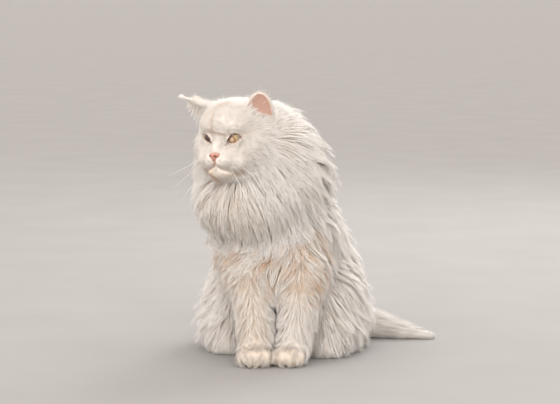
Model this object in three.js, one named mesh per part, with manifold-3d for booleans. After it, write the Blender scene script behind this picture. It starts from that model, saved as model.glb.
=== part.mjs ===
// A long-haired Persian cat, life size, sitting upright with its head turned to its right.
// Millimetres, +Z up. The cat sits on z = 0 and faces -Y, and its left side is +X.
// Every part is a mould: a ball of triangles blown out from a point until it meets a soft field of
// named masses. Parts that meet are cut back from each other, so that a thin gap divides them.
// Long coat is built as locks over a core that lies deeper than their tips.
import * as THREE from "three";
import { mergeVertices } from "three/addons/utils/BufferGeometryUtils.js";
import Module from "manifold-3d";

const wasm = await Module();
wasm.setup();

// Driving dimensions
const HIP_HALF = 110;
const SHOULDER_HALF = 86;
const MANE_HALF = 92;
const SKULL_HALF = 50;
const EYEBALL = 11;
const EYE_SPREAD = 16.5;
const EYE_OPEN = [20, 12.4];
const EYE_TURN = 20;
const EYE_SLANT = 23;
const LID = 1.9;
const SOCKET_GAP = 0.6;
const EAR_TALL = 32;
const EAR_HALF = 19;
const TAIL_REACH = 182;
const GAP = 0.34;
const WELD = 1e-3;

// How far the core of each coat lies under the tips of its locks
const MANE_DEPTH = 17;
const TRUNK_DEPTH = 12;
const HAUNCH_DEPTH = 11;
const LEG_DEPTH = 4;
const TAIL_DEPTH = 6;

// Locks: length, width, thickness at the root, and how far the tip stands off the outline
const CHEEK_LOCK = { long: 48, wide: 21, thick: 6, lift: 3 };
const MANE_LOCK = { long: 64, wide: 27, thick: 8, lift: 4 };
const BODY_LOCK = { long: 56, wide: 24, thick: 6.5, lift: 2.5 };
const LEG_LOCK = { long: 34, wide: 15, thick: 4.5, lift: 4 };
const TAIL_LOCK = { long: 40, wide: 17, thick: 4.5, lift: 0.5 };
const LOCK_ROOT = 5;
const LOCK_STEPS = 3;
const LOCK_WIDTHS = [0.75, 1, 0.76];
const MOST_BURIED = 4;

// The head's own frame: x forward to the nose, y to the cat's left, z up
const HEAD_AT = [-44.9, -91.3, 298];
const HEAD_TURN = 15;

const radians = THREE.MathUtils.degToRad;
const point = (at) => new THREE.Vector3(...at);

// Solids

function solidOf(geometry) {
  const bare = new THREE.BufferGeometry();
  const plain = geometry.index ? geometry.toNonIndexed() : geometry;
  bare.setAttribute("position", plain.getAttribute("position"));
  const merged = mergeVertices(bare, WELD);
  return new wasm.Manifold(
    new wasm.Mesh({
      numProp: 3,
      vertProperties: merged.attributes.position.array,
      triVerts: new Uint32Array(merged.index.array),
    }),
  );
}

function geometryOf(solid) {
  const mesh = solid.getMesh();
  const places = new Float32Array(mesh.numVert * 3);
  for (let i = 0; i < mesh.numVert; i++) {
    const from = i * mesh.numProp;
    places.set(mesh.vertProperties.subarray(from, from + 3), i * 3);
  }
  return new THREE.BufferGeometry()
    .setAttribute("position", new THREE.BufferAttribute(places, 3))
    .setIndex(new THREE.BufferAttribute(mesh.triVerts, 1));
}

function largest(solid) {
  return solid.decompose().sort((a, b) => b.volume() - a.volume())[0];
}

// Fields: how far a point lies outside a form, less than 0 inside it

function mass(at, size) {
  return (p) => {
    const [x, y, z] = [0, 1, 2].map((i) => (p.getComponent(i) - at[i]) / size[i]);
    const near = Math.hypot(x, y, z);
    const slope = Math.hypot(x / size[0], y / size[1], z / size[2]);
    return slope < 1e-9 ? -Math.min(...size) : (near * (near - 1)) / slope;
  };
}

function limb(from, to, startRadius, endRadius) {
  const start = point(from);
  const along = point(to).sub(start);
  return (p) => {
    const offset = p.clone().sub(start);
    const t = THREE.MathUtils.clamp(offset.dot(along) / along.lengthSq(), 0, 1);
    const radius = THREE.MathUtils.lerp(startRadius, endRadius, t);
    return offset.addScaledVector(along, -t).length() - radius;
  };
}

function blended(softness, ...fields) {
  return (p) =>
    fields
      .map((field) => field(p))
      .reduce((a, b) => {
        const mix = Math.max(softness - Math.abs(a - b), 0) / softness;
        return Math.min(a, b) - (mix * mix * softness) / 4;
      });
}

function hollowed(softness, field, hollow) {
  return (p) => -blended(softness, (q) => -field(q), hollow)(p);
}

const headFrame = new THREE.Matrix4()
  .makeRotationZ(radians(-90 - HEAD_TURN))
  .setPosition(...HEAD_AT);
const intoHead = headFrame.clone().invert();
const onHead = (at) => point(at).applyMatrix4(headFrame);
const inHead = (field) => (p) => field(p.clone().applyMatrix4(intoHead));

// The long coat of the head and neck lies away from the face, and downwards below the ears
function fromFace(p) {
  const away = p.clone().sub(onHead([30, 0, -10])).normalize();
  return away.add(new THREE.Vector3(0, 0.1, p.z > HEAD_AT[2] ? -0.25 : -0.8));
}

// A ball of triangles, longer where the form is longer and finer on the side that it leans to,
// blown out to a level of the field
function mould({ field, at, size, detail, lean = [0, 0, 0] }, level = 0) {
  const ball = new THREE.IcosahedronGeometry(1, detail);
  ball.deleteAttribute("normal");
  ball.deleteAttribute("uv");
  const shell = mergeVertices(ball, 1e-4);
  const centre = point(at);
  const places = shell.getAttribute("position");
  for (let i = 0; i < places.count; i++) {
    const way = new THREE.Vector3().fromBufferAttribute(places, i);
    way.add(point(lean)).multiply(point(size)).normalize();
    const reach = reachOf(field, centre, way, level);
    places.setXYZ(i, ...centre.clone().addScaledVector(way, reach).toArray());
  }
  return solidOf(shell);
}

function reachOf(field, centre, way, level) {
  const step = 3;
  let far = step;
  const value = (reach) => field(centre.clone().addScaledVector(way, reach)) - level;
  while (value(far) < 0) far += step;
  let near = far - step;
  for (let i = 0; i < 16; i++) {
    const middle = (near + far) / 2;
    if (value(middle) < 0) near = middle;
    else far = middle;
  }
  return near;
}

// The head

const both = (make) => [1, -1].map(make);
const eyeCentre = (side) => [32.5, side * EYE_SPREAD, -4];
const skull = blended(
  14,
  mass([-8, 0, 4], [46, SKULL_HALF, 42]),
  ...both((side) => mass([-14, side * 25, 18], [25, 26, 23])),
  mass([18, 0, 15], [29, 33, 28]),
  ...both((side) => mass([6, side * 27, -19], [31, 25, 26])),
  ...both((side) => mass([31, side * 18, 13], [12, 14, 8])),
  mass([20, 0, -33], [28, 26, 16]),
);
const muzzle = blended(
  6,
  mass([36, 0, -26], [20, 22, 16]),
  ...both((side) => mass([47.5, side * 9, -31], [12.5, 12, 9.5])),
  mass([43.5, 0, -14], [14, 8.5, 14]),
  mass([43, 0, -45], [12, 12.5, 8.5]),
);
const eyeHollows = blended(
  2,
  ...both((side) => mass([54, side * 25, -5], [13, 12, 11])),
);
const head = {
  field: inHead(hollowed(8, blended(9, skull, muzzle), eyeHollows)),
  at: onHead([6, 0, -6]).toArray(),
  size: [54, 54, 50],
  detail: 7,
  lean: [-0.12, -0.42, -0.08],
  depth: 0,
  hair: CHEEK_LOCK,
  count: 70,
  seed: 5,
  buried: 18,
  lie: fromFace,
  wanted: (p) => p.clone().applyMatrix4(intoHead).x < 2,
};

function eyeFrame(side) {
  return headFrame
    .clone()
    .multiply(new THREE.Matrix4().setPosition(...eyeCentre(side)))
    .multiply(new THREE.Matrix4().makeRotationZ(radians(side * EYE_TURN)));
}

function ball(radius, frame, detail) {
  const sphere = new THREE.IcosahedronGeometry(radius, detail);
  return solidOf(sphere.applyMatrix4(frame));
}

// The almond of the open lids, as a prism that looks out along the eye's axis
function lidOpening(side) {
  const [wide, tall] = EYE_OPEN;
  const outline = new THREE.Shape();
  outline.moveTo(-wide / 2, 0);
  outline.bezierCurveTo(-wide / 3, tall * 0.72, wide / 4, tall * 0.72, wide / 2, 0);
  outline.bezierCurveTo(wide / 4, -tall * 0.62, -wide / 4, -tall * 0.62, -wide / 2, 0);
  const prism = new THREE.ExtrudeGeometry(outline, {
    depth: 2 * EYEBALL,
    bevelEnabled: false,
    curveSegments: 4,
  });
  // The outline's width lies across the head and its depth runs outwards
  const turned = new THREE.Matrix4().makeBasis(
    new THREE.Vector3(0, side, 0),
    new THREE.Vector3(0, 0, 1),
    new THREE.Vector3(side, 0, 0),
  );
  if (side < 0) turned.multiply(new THREE.Matrix4().makeTranslation(0, 0, -2 * EYEBALL));
  const slant = new THREE.Matrix4().makeRotationX(radians(side * EYE_SLANT));
  prism.applyMatrix4(eyeFrame(side).multiply(slant).multiply(turned));
  return solidOf(prism);
}

// The head's surface in front of a place given across and up
function faceAt(across, up, sink = 0) {
  const far = 90;
  const start = onHead([far, across, up]);
  const back = onHead([0, across, up]).sub(onHead([far, across, up])).normalize();
  let reach = 0;
  while (head.field(start.clone().addScaledVector(back, reach)) > 0.05 && reach < far)
    reach += Math.max(head.field(start.clone().addScaledVector(back, reach)) * 0.6, 0.03);
  return start.addScaledVector(back, reach + sink);
}

function groove(places, radius) {
  const path = new THREE.CatmullRomCurve3(places.map(([y, z]) => faceAt(y, z)));
  const section = new THREE.Shape();
  const sides = 4;
  for (let i = 0; i < sides; i++) {
    const turn = (2 * Math.PI * i) / sides;
    const corner = [radius * Math.cos(turn), radius * Math.sin(turn)];
    if (i) section.lineTo(...corner);
    else section.moveTo(...corner);
  }
  return solidOf(
    new THREE.ExtrudeGeometry(section, {
      steps: 8,
      bevelEnabled: false,
      extrudePath: path,
    }),
  );
}

// The line of the mouth runs from under the nose out and down to each corner
const MOUTH_GROOVE = 1.25;
const mouthLine = both((side) =>
  groove(
    [
      [0, -32],
      [side * 0.6, -36.5],
      [side * 4, -39.5],
      [side * 10, -42],
      [side * 17, -44.5],
      [side * 24, -44.5],
    ],
    MOUTH_GROOVE,
  ),
);

// Nose leather: a small soft wedge over the lip, with two nostrils
const NOSE_AT = [56.8, 0, -25.5];
const nose = {
  field: inHead(
    blended(
      2.5,
      ...both((side) => mass([56, side * 3.4, -23.4], [5.4, 3.8, 3])),
      mass([57, 0, -24.2], [5.2, 4, 3.8]),
      mass([56.4, 0, -28.6], [4.2, 2.3, 3.6]),
    ),
  ),
  at: onHead(NOSE_AT).toArray(),
  size: [5, 6, 5],
  detail: 2,
};
const nostrils = both((side) => {
  const slot = new THREE.IcosahedronGeometry(1, 1).scale(2.8, 1.8, 1.1);
  slot.rotateX(radians(side * 28)).translate(61.2, side * 3.7, -24.6);
  return solidOf(slot.applyMatrix4(headFrame));
});

// Ears: small cups, rounded at the tip, set low and wide apart. The right ear is swung well out
// and its cup looks down.
const EARS = {
  left: { at: [1, 36, 24], splay: -4, turn: 26 },
  right: { at: [3, -42, 28], splay: 62, turn: -65 },
};

function earFrame({ at, splay, turn }) {
  return headFrame
    .clone()
    .multiply(new THREE.Matrix4().setPosition(...at))
    .multiply(new THREE.Matrix4().makeRotationX(radians(splay)))
    .multiply(new THREE.Matrix4().makeRotationZ(radians(turn)));
}

// Each ear narrows to its tip and leans forward a little, and its cup opens forward
function earField(frame, inset) {
  const into = frame.clone().invert();
  const outer = mass([0, 0, 0], [10 - inset, EAR_HALF - inset, EAR_TALL - inset]);
  return (p) => {
    const q = p.clone().applyMatrix4(into);
    const up = THREE.MathUtils.clamp(q.z / EAR_TALL, 0, 1);
    q.y /= 1 - 0.42 * up;
    q.x -= 3 * up;
    return outer(q);
  };
}

function earSolid(frame, level) {
  const at = new THREE.Vector3(0, 0, 6).applyMatrix4(frame).toArray();
  return mould({ field: earField(frame, 0), at, size: [14, 18, 32], detail: 3 }, level);
}

function earCup(frame) {
  const moved = frame.clone().multiply(new THREE.Matrix4().setPosition(6, 0, 2));
  const at = new THREE.Vector3(0, 0, 6).applyMatrix4(moved).toArray();
  return mould({ field: earField(moved, 3), at, size: [14, 18, 32], detail: 2 });
}

// The mane: a great ball of long hair round the neck, behind and below the face
const mane = {
  field: blended(
    20,
    mass([-19, -50, 236], [MANE_HALF, 70, 88]),
    mass([-26, -84, 205], [64, 52, 50]),
    mass([-14, -48, 280], [78, 54, 66]),
  ),
  at: [-20, -54, 236],
  size: [90, 74, 96],
  detail: 4,
  depth: MANE_DEPTH,
  hair: MANE_LOCK,
  count: 66,
  seed: 1,
  lie: fromFace,
};

// The trunk: chest and shoulders over the forelegs, loin and rump behind them
const trunk = {
  field: blended(
    22,
    mass([-4, -36, 158], [SHOULDER_HALF, 62, 82]),
    mass([-3, -58, 122], [66, 44, 58]),
    mass([-2, 4, 158], [82, 62, 72]),
    mass([2, 30, 106], [94, 74, 84]),
    mass([0, 58, 46], [82, 58, 56]),
    mass([0, 4, 44], [64, 68, 50]),
  ),
  at: [-2, 0, 116],
  size: [88, 88, 110],
  detail: 5,
  depth: TRUNK_DEPTH,
  hair: BODY_LOCK,
  count: 76,
  seed: 31,
  lie: (p) => new THREE.Vector3(0, p.y > 40 ? 0.5 : 0.15, -1),
};

function haunch(side) {
  return {
    field: blended(
      16,
      mass([side * (HIP_HALF - 46), 14, 60], [46, 72, 70]),
      mass([side * (HIP_HALF - 43), 30, 34], [44, 74, 46]),
      mass([side * (HIP_HALF - 44), -22, 28], [40, 44, 36]),
    ),
    at: [side * (HIP_HALF - 46), 12, 48],
    size: [46, 78, 70],
    detail: 4,
    depth: HAUNCH_DEPTH,
    hair: BODY_LOCK,
    count: 36,
    seed: 22 + side,
    lie: () => new THREE.Vector3(side * 0.2, 0.3, -1),
  };
}

// Forelegs, from the elbow to the wrist, and their paws
const FORELEGS = {
  left: { elbow: [42, -74, 112], wrist: [37, -98, 26], paw: [34, -110, 14], turn: -4 },
  right: { elbow: [-26, -76, 112], wrist: [-15, -108, 26], paw: [-11, -122, 14], turn: 6 },
};
const FORE_PAW = [21.5, 24, 16];

function foreleg({ elbow, wrist }) {
  const middle = point(elbow).lerp(point(wrist), 0.5).toArray();
  return {
    field: blended(
      10,
      limb(elbow, wrist, 30, 20.5),
      mass([elbow[0], elbow[1] + 6, elbow[2] - 2], [31, 30, 38]),
    ),
    at: middle,
    size: [26, 34, 66],
    detail: 3,
    depth: LEG_DEPTH,
    hair: LEG_LOCK,
    count: 34,
    seed: 11,
    lie: (p) => new THREE.Vector3(p.x > elbow[0] ? 0.2 : -0.2, 0.3, -1),
    wanted: (p) => p.z > 48 && p.y > middle[1] - 6,
  };
}

// A paw with four toes, pointing to -Y before it is turned
const TOES = [-1.5, -0.5, 0.5, 1.5];
function paw(at, turn, [wide, long, tall], detail, grow = 0) {
  const frame = new THREE.Matrix4().makeRotationZ(radians(turn)).setPosition(...at);
  const lump = (place, size, detail) => {
    const form = new THREE.IcosahedronGeometry(1, detail).scale(...size.map((r) => r + grow));
    return solidOf(form.translate(...place).applyMatrix4(frame));
  };
  return TOES.reduce((rest, place) => {
    const front = -long * (0.84 - 0.09 * place * place);
    const toe = [wide * 0.3, long * 0.42, tall * 0.68];
    return rest.add(lump([place * wide * 0.5, front, -tall * 0.2], toe, 1));
  }, lump([0, 0, 0], [wide, long, tall], detail));
}

const HIND_PAW = { across: 66, front: -34, size: [19, 24, 15] };

// The tail leaves the rump, swings to the cat's left and lies along the floor
const TAIL_STOPS = [
  { at: [10, 106, 26], radius: 27 },
  { at: [62, 120, 23], radius: 25 },
  { at: [104, 121, 18], radius: 20.5 },
  { at: [142, 119, 13], radius: 15 },
  { at: [TAIL_REACH, 118, 5.5], radius: 5 },
];

function tailLength(first, last, count, seed) {
  const stops = TAIL_STOPS.slice(first, last + 1);
  const pieces = stops
    .slice(1)
    .map((stop, i) => limb(stops[i].at, stop.at, stops[i].radius, stop.radius));
  const at = point(stops[0].at).lerp(point(stops.at(-1).at), 0.5).toArray();
  return {
    field: blended(6, ...pieces),
    at,
    size: [44, 28, 28],
    detail: 3,
    depth: TAIL_DEPTH,
    hair: TAIL_LOCK,
    count,
    seed,
    lie: () => new THREE.Vector3(1, 0, -0.1),
  };
}

// What rests on the floor is trimmed flat at z = 0
const FLOOR_DEPTH = 200;
const floor = solidOf(
  new THREE.BoxGeometry(900, 900, FLOOR_DEPTH).translate(0, 0, -FLOOR_DEPTH / 2),
);

// Draws from a fixed seed, so that every run makes the same coat
function drawer(seed) {
  let state = seed;
  return (low, high) => {
    state = (Math.imul(state, 1664525) + 1013904223) >>> 0;
    return low + ((high - low) * state) / 2 ** 32;
  };
}

function outwards(field, p) {
  const step = 0.5;
  const rise = [0, 1, 2].map((i) => {
    const ahead = p.clone().setComponent(i, p.getComponent(i) + step);
    const behind = p.clone().setComponent(i, p.getComponent(i) - step);
    return field(ahead) - field(behind);
  });
  return point(rise).normalize();
}

const haunches = both(haunch);
const forelegs = Object.values(FORELEGS).map(foreleg);
const tailBase = tailLength(0, 2, 18, 41);
const tailEnd = tailLength(2, 4, 10, 42);

// The outline of the whole coat, which the locks of one part follow on to the next
const masses = [head, mane, trunk, ...haunches, ...forelegs, tailBase, tailEnd];
const outline = blended(16, ...masses.map((form) => form.field));

// A lock leaves the core, runs along the lie of the coat and comes up to the outline at its tip
function lockPath(root, lie, { long, lift, sway }) {
  const at = root.clone();
  const start = outline(at);
  const path = [];
  for (let i = 0; i <= LOCK_STEPS; i++) {
    const out = outwards(outline, at);
    const way = lie(at).projectOnPlane(out).normalize();
    way.applyAxisAngle(out, sway * (1 - (2 * i) / LOCK_STEPS));
    path.push({ at: at.clone(), out, way });
    const rise = 1 - (1 - (i + 1) / LOCK_STEPS) ** 1.5;
    at.addScaledVector(way, long / LOCK_STEPS);
    const wanted = THREE.MathUtils.lerp(start, lift, rise);
    at.addScaledVector(outwards(outline, at), wanted - outline(at));
  }
  return path;
}

// Its section is a flat wedge with a ridge along the top
function lockSolid(path, { wide, thick }, grow = 0) {
  const places = [];
  const faces = [[0, 1, 2]];
  LOCK_WIDTHS.forEach((part, i) => {
    const { at, out, way } = path[i];
    const side = way.clone().cross(out).normalize();
    const half = (wide * part) / 2 + 4 * grow;
    const under = at.clone().addScaledVector(out, -grow);
    if (i === 0) under.addScaledVector(way, -grow);
    const ridge = thick * (1 - 0.5 * (i / LOCK_STEPS)) + 1.3 * grow;
    places.push(under.clone().addScaledVector(side, -half));
    places.push(under.clone().addScaledVector(side, half));
    places.push(under.clone().addScaledVector(out, ridge + grow));
    for (let j = 0; j < 3; j++) {
      const [a, b] = [3 * i + j, 3 * i + ((j + 1) % 3)];
      if (i === LOCK_WIDTHS.length - 1) faces.push([b, a, 3 * i + 3]);
      else faces.push([b, a, a + 3], [b, a + 3, b + 3]);
    }
  });
  const tip = path[LOCK_STEPS];
  places.push(tip.at.clone().addScaledVector(tip.way, 5 * grow));
  const geometry = new THREE.BufferGeometry().setFromPoints(places);
  return solidOf(geometry.setIndex(faces.flat()));
}

// Directions spread evenly over a ball
function spread(count) {
  const golden = Math.PI * (3 - Math.sqrt(5));
  return Array.from({ length: count }, (_, i) => {
    const up = 1 - (2 * i + 1) / count;
    const flat = Math.sqrt(1 - up * up);
    return new THREE.Vector3(flat * Math.cos(golden * i), flat * Math.sin(golden * i), up);
  });
}

// Cores, in the order in which each keeps its shape: each is cut back from those before it
const parts = [];
function add(name, material, solid, grown, form = {}) {
  const body = parts.reduce((rest, part) => rest.subtract(part.grown), solid);
  parts.push({ name, material, form, grown, body: largest(body.subtract(floor)), locks: [] });
}
function addMould(name, material, form) {
  add(name, material, mould(form), mould(form, GAP), form);
}

// Under long coat the core is drawn in, but not where it rests on the floor
const CORE_RISE = 40;
function addCored(name, material, form) {
  const field = (p) => form.field(p) + form.depth * THREE.MathUtils.clamp(p.z / CORE_RISE, 0, 1);
  addMould(name, material, { ...form, field });
}

function apart(a, b) {
  const [boxA, boxB] = [a.boundingBox(), b.boundingBox()];
  const clear = [0, 1, 2].some((i) => boxA.min[i] > boxB.max[i] || boxB.min[i] > boxA.max[i]);
  return clear || a.intersect(b).isEmpty();
}

// Locks are rooted in the core of their part and stay clear of every other part and its locks
function grow(part) {
  const { field, at, size, depth, hair, count, seed, lie } = part.form;
  const { wanted = () => true, buried = MOST_BURIED } = part.form;
  const others = parts.filter((other) => other !== part);
  const solids = others.flatMap((other) => [other.grown, ...other.locks.map((lock) => lock.grown)]);
  const draw = drawer(seed);
  const centre = point(at);
  for (const direction of spread(count)) {
    const way = direction.multiply(point(size)).normalize();
    const root = centre.clone().addScaledVector(way, reachOf(field, centre, way, 0));
    const long = hair.long * draw(0.8, 1.2);
    const wide = hair.wide * draw(0.85, 1.15);
    const sway = draw(-0.3, 0.3);
    const lift = hair.lift * draw(0.2, 1.6);
    if (!wanted(root) || outline(root) < -depth - buried) continue;
    root.addScaledVector(outwards(field, root), -LOCK_ROOT);
    for (const shorter of [1, 0.75, 0.5]) {
      const path = lockPath(root, lie, { long: long * shorter, lift, sway });
      const section = { wide: wide * Math.sqrt(shorter), thick: hair.thick };
      const solid = lockSolid(path, section);
      if (path.at(-1).at.z > 2 && solids.every((other) => apart(solid, other))) {
        part.locks.push({ solid, grown: lockSolid(path, section, GAP) });
        break;
      }
    }
  }
}

const coat = new THREE.MeshStandardMaterial({ color: 0xece6dd, roughness: 0.85, metalness: 0 });
const leather = new THREE.MeshStandardMaterial({ color: 0xd98f7f, roughness: 0.55, metalness: 0 });
const iris = new THREE.MeshStandardMaterial({ color: 0xa8924a, roughness: 0.08, metalness: 0 });

const SIDES = { left: 1, right: -1 };
for (const [name, side] of Object.entries(SIDES)) {
  const frame = eyeFrame(side);
  add("eye_" + name, iris, ball(EYEBALL, frame, 2), ball(EYEBALL + SOCKET_GAP, frame, 2));
}
const noseSolid = nostrils.reduce((rest, slot) => rest.subtract(slot), mould(nose));
add("nose", leather, noseSolid, mould(nose, GAP));

const lidded = Object.values(SIDES).reduce(
  (rest, side) => rest.add(ball(EYEBALL + LID, eyeFrame(side), 3)),
  mould(head),
);
const openEyed = Object.values(SIDES).reduce(
  (rest, side) => rest.subtract(lidOpening(side)),
  lidded,
);
const faced = mouthLine.reduce((rest, line) => rest.subtract(line), openEyed);
add("head", coat, faced, mould(head, GAP), head);
for (const [name, ear] of Object.entries(EARS)) {
  const frame = earFrame(ear);
  const cup = earSolid(frame, 0).subtract(earCup(frame));
  add("ear_" + name, coat, cup, earSolid(frame, GAP));
}

addCored("trunk", coat, trunk);
addCored("mane", coat, mane);
for (const [name, { paw: at, turn }] of Object.entries(FORELEGS))
  add("forepaw_" + name, coat, paw(at, turn, FORE_PAW, 2), paw(at, turn, FORE_PAW, 2, GAP));
Object.keys(SIDES).forEach((name, i) => {
  addCored("foreleg_" + name, coat, forelegs[i]);
  addCored("haunch_" + name, coat, haunches[i]);
});
for (const [name, side] of Object.entries(SIDES)) {
  const { across, front, size } = HIND_PAW;
  const place = [[side * across, front, size[2] - 2], side * 8, size, 1];
  add("hind_paw_" + name, coat, paw(...place), paw(...place, GAP));
}
addCored("tail_base", coat, tailBase);
addCored("tail_end", coat, tailEnd);

// The upper coat falls over the lower
const HAIRED = ["head", "mane", "foreleg_left", "foreleg_right", "haunch_left", "haunch_right"];
for (const name of [...HAIRED, "trunk", "tail_base", "tail_end"])
  grow(parts.find((part) => part.name === name));

const cat = new THREE.Group();
for (const { name, material, body, locks } of parts) {
  const joined = locks.reduce((rest, lock) => rest.add(lock.solid), body).subtract(floor);
  const whole = largest(solidOf(geometryOf(largest(joined))));
  const mesh = new THREE.Mesh(geometryOf(whole), material);
  mesh.name = name;
  cat.add(mesh);
}

export default cat;
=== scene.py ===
"""A long-haired Persian cat in white and warm cream, sitting on a pale floor.

The tables are in millimetres, as the solids are, and the meshes are in metres.
"""
import math

import bpy
import numpy as np
from mathutils import Matrix, Vector
from mathutils.bvhtree import BVHTree
from mathutils.kdtree import KDTree


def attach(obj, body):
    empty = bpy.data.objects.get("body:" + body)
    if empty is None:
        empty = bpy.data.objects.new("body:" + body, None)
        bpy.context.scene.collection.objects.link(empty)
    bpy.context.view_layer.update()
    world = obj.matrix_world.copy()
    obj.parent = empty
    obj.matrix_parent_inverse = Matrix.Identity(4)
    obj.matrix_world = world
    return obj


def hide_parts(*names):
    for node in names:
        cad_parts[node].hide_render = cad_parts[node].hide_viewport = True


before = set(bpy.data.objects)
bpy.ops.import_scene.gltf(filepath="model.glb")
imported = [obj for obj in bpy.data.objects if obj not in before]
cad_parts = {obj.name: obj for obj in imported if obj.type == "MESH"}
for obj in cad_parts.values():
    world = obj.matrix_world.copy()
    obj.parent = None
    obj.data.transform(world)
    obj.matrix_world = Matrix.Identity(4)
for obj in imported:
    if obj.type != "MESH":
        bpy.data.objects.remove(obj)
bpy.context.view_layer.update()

MM = 0.001
SEED = 7
SIDES = {"left": 1, "right": -1}

# The head's own frame: x forward to the nose, y to the cat's left, z up
HEAD_AT = np.array([-44.9, -91.3, 298.0])
HEAD_TURN = 15
EYEBALL = 11
EYE_SPREAD = 16.5
EYE_AT = (32.5, -4.0)
# How far the eyes look outwards, in degrees, and where their clear front begins on a ball of size 1
GAZE_TURN = 7
GAZE_EDGE = math.cos(math.radians(54))
# Each eye by its side: its outward turn, the slant of its lids, half its open width, and how far
# the lids reach up and down at places from the inner to the outer corner
LIDS = {
    1: dict(
        turn=21,
        slant=27,
        half=11.2,
        reach=[
            (-1, 0, 0), (-0.6, 3.2, 2.4), (-0.12, 6.7, 4.8), (0.17, 7.2, 4.7),
            (0.56, 5.1, 3.4), (0.88, 2.5, 1.2), (1, 0, 0),
        ],
    ),
    -1: dict(
        turn=25,
        slant=31,
        half=9.2,
        reach=[
            (-1, 0, 0), (-0.7, 4.2, 1.2), (-0.15, 5.6, 0.9), (0.3, 4.6, 0.4),
            (0.7, 2.8, 0.1), (1, 0, 0),
        ],
    ),
}
# How thick the lids are, and the gap between them and the eyeball
LID_THICK = 2.5
LID_GAP = 0.8
# How deep each part's coat is, from its outline to the skin
MANE_DEPTH = 17
TRUNK_DEPTH = 12
HAUNCH_DEPTH = 11
LEG_DEPTH = 4
TAIL_DEPTH = 6
PAW_COAT = 1.2
EAR_COAT = 1.2
# From this height down to the floor the skin comes nearer to the outline
CORE_RISE = 40


# Forms: soft masses, and fields that tell how far a point lies outside them


def turned(x=0, y=0, z=0):
    """A turn about the axes in degrees, as a 3 x 3 array."""
    whole = (
        Matrix.Rotation(math.radians(z), 3, "Z")
        @ Matrix.Rotation(math.radians(y), 3, "Y")
        @ Matrix.Rotation(math.radians(x), 3, "X")
    )
    return np.array(whole)


HEAD_TURNED = turned(z=-90 - HEAD_TURN)


def on_head(at):
    return HEAD_TURNED @ np.array(at, float) + HEAD_AT


def in_head(p):
    return (p - HEAD_AT) @ HEAD_TURNED


def unit(v):
    return v / np.maximum(np.sqrt((v * v).sum(-1, keepdims=True)), 1e-9)


def share(x, start, width):
    """0 up to a start, and from there evenly up to 1 over a width."""
    return np.clip((x - start) / width, 0, 1)


def smooth(x, low, high):
    """0 at low and 1 at high, with soft ends."""
    t = np.clip((x - low) / (high - low), 0, 1)
    return t * t * (3 - 2 * t)


def ridge(distance, width):
    """1 on a line, and softly down to 0 beside it."""
    return np.exp(-((distance / width) ** 2))


class Mass:
    """A ball with three half sizes, in the frame of the body or of the head."""

    def __init__(self, at, size, into=None, out=None):
        self.at = np.array(at, float)
        self.size = np.array(size, float)
        self.into, self.out = into, out

    def __call__(self, p):
        q = p if self.into is None else self.into(p)
        q = (q - self.at) / self.size
        near = np.sqrt((q * q).sum(-1))
        slope = np.sqrt(((q / self.size) ** 2).sum(-1))
        return near * (near - 1) / np.maximum(slope, 1e-6)

    def reach(self):
        """Its lowest and highest corners, or a little more."""
        middle = self.at if self.out is None else self.out(self.at)
        size = self.size if self.out is None else self.size.max()
        return middle - size, middle + size


class Limb:
    """A round length between two points, with a radius at each."""

    def __init__(self, start, end, first, last):
        self.start = np.array(start, float)
        self.along = np.array(end, float) - self.start
        self.first, self.last = first, last

    def __call__(self, p):
        offset = p - self.start
        t = np.clip(offset @ self.along / (self.along @ self.along), 0, 1)
        off = offset - t[..., None] * self.along
        return np.sqrt((off * off).sum(-1)) - (self.first + (self.last - self.first) * t)

    def reach(self):
        ends = np.array([self.start, self.start + self.along])
        return ends.min(0) - self.first, ends.max(0) + self.first


def melt(softness, values):
    """The soft join of several fields' values."""
    whole = values[0]
    for value in values[1:]:
        mix = np.maximum(softness - np.abs(whole - value), 0) / softness
        whole = np.minimum(whole, value) - mix * mix * softness / 4
    return whole


def blended(softness, *fields):
    return lambda p: melt(softness, [field(p) for field in fields])


def hollowed(softness, field, hollow):
    return lambda p: -melt(softness, [-field(p), hollow(p)])


def both(make):
    return [make(1), make(-1)]


def head_mass(at, size):
    return Mass(at, size, in_head, on_head)


SKULL = [
    head_mass([-8, 0, 4], [46, 50, 42]),
    *both(lambda s: head_mass([-14, s * 25, 18], [25, 26, 23])),
    head_mass([18, 0, 15], [29, 33, 28]),
    *both(lambda s: head_mass([6, s * 27, -19], [31, 25, 26])),
    *both(lambda s: head_mass([31, s * 18, 13], [12, 14, 8])),
    head_mass([20, 0, -33], [28, 26, 16]),
]
MUZZLE = [
    head_mass([36, 0, -26], [20, 22, 16]),
    *both(lambda s: head_mass([47.5, s * 9, -31], [12.5, 12, 9.5])),
    *both(lambda s: head_mass([33, s * 21, -33], [15, 14, 12])),
    head_mass([43.5, 0, -14], [14, 8.5, 14]),
    head_mass([39, 0, -47], [15, 17, 10]),
]
EYE_HOLLOWS = both(lambda s: head_mass([54, s * 25, -5], [13, 12, 11]))
MANE = [
    Mass([-19, -50, 236], [92, 70, 88]),
    Mass([-26, -84, 205], [64, 52, 50]),
    Mass([-17, -48, 276], [71, 54, 64]),
    Mass([-68, -84, 206], [30, 34, 40]),
]
TRUNK = [
    Mass([-4, -36, 158], [86, 62, 82]),
    Mass([-3, -58, 122], [66, 44, 58]),
    Mass([-2, 4, 158], [82, 62, 72]),
    Mass([2, 30, 106], [94, 74, 84]),
    Mass([0, 58, 46], [82, 58, 56]),
    Mass([0, 4, 44], [64, 68, 50]),
]


def haunch_masses(side):
    return [
        Mass([side * 64, 14, 60], [46, 72, 70]),
        Mass([side * 67, 30, 34], [44, 74, 46]),
        Mass([side * 66, -22, 28], [40, 44, 36]),
    ]


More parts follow.
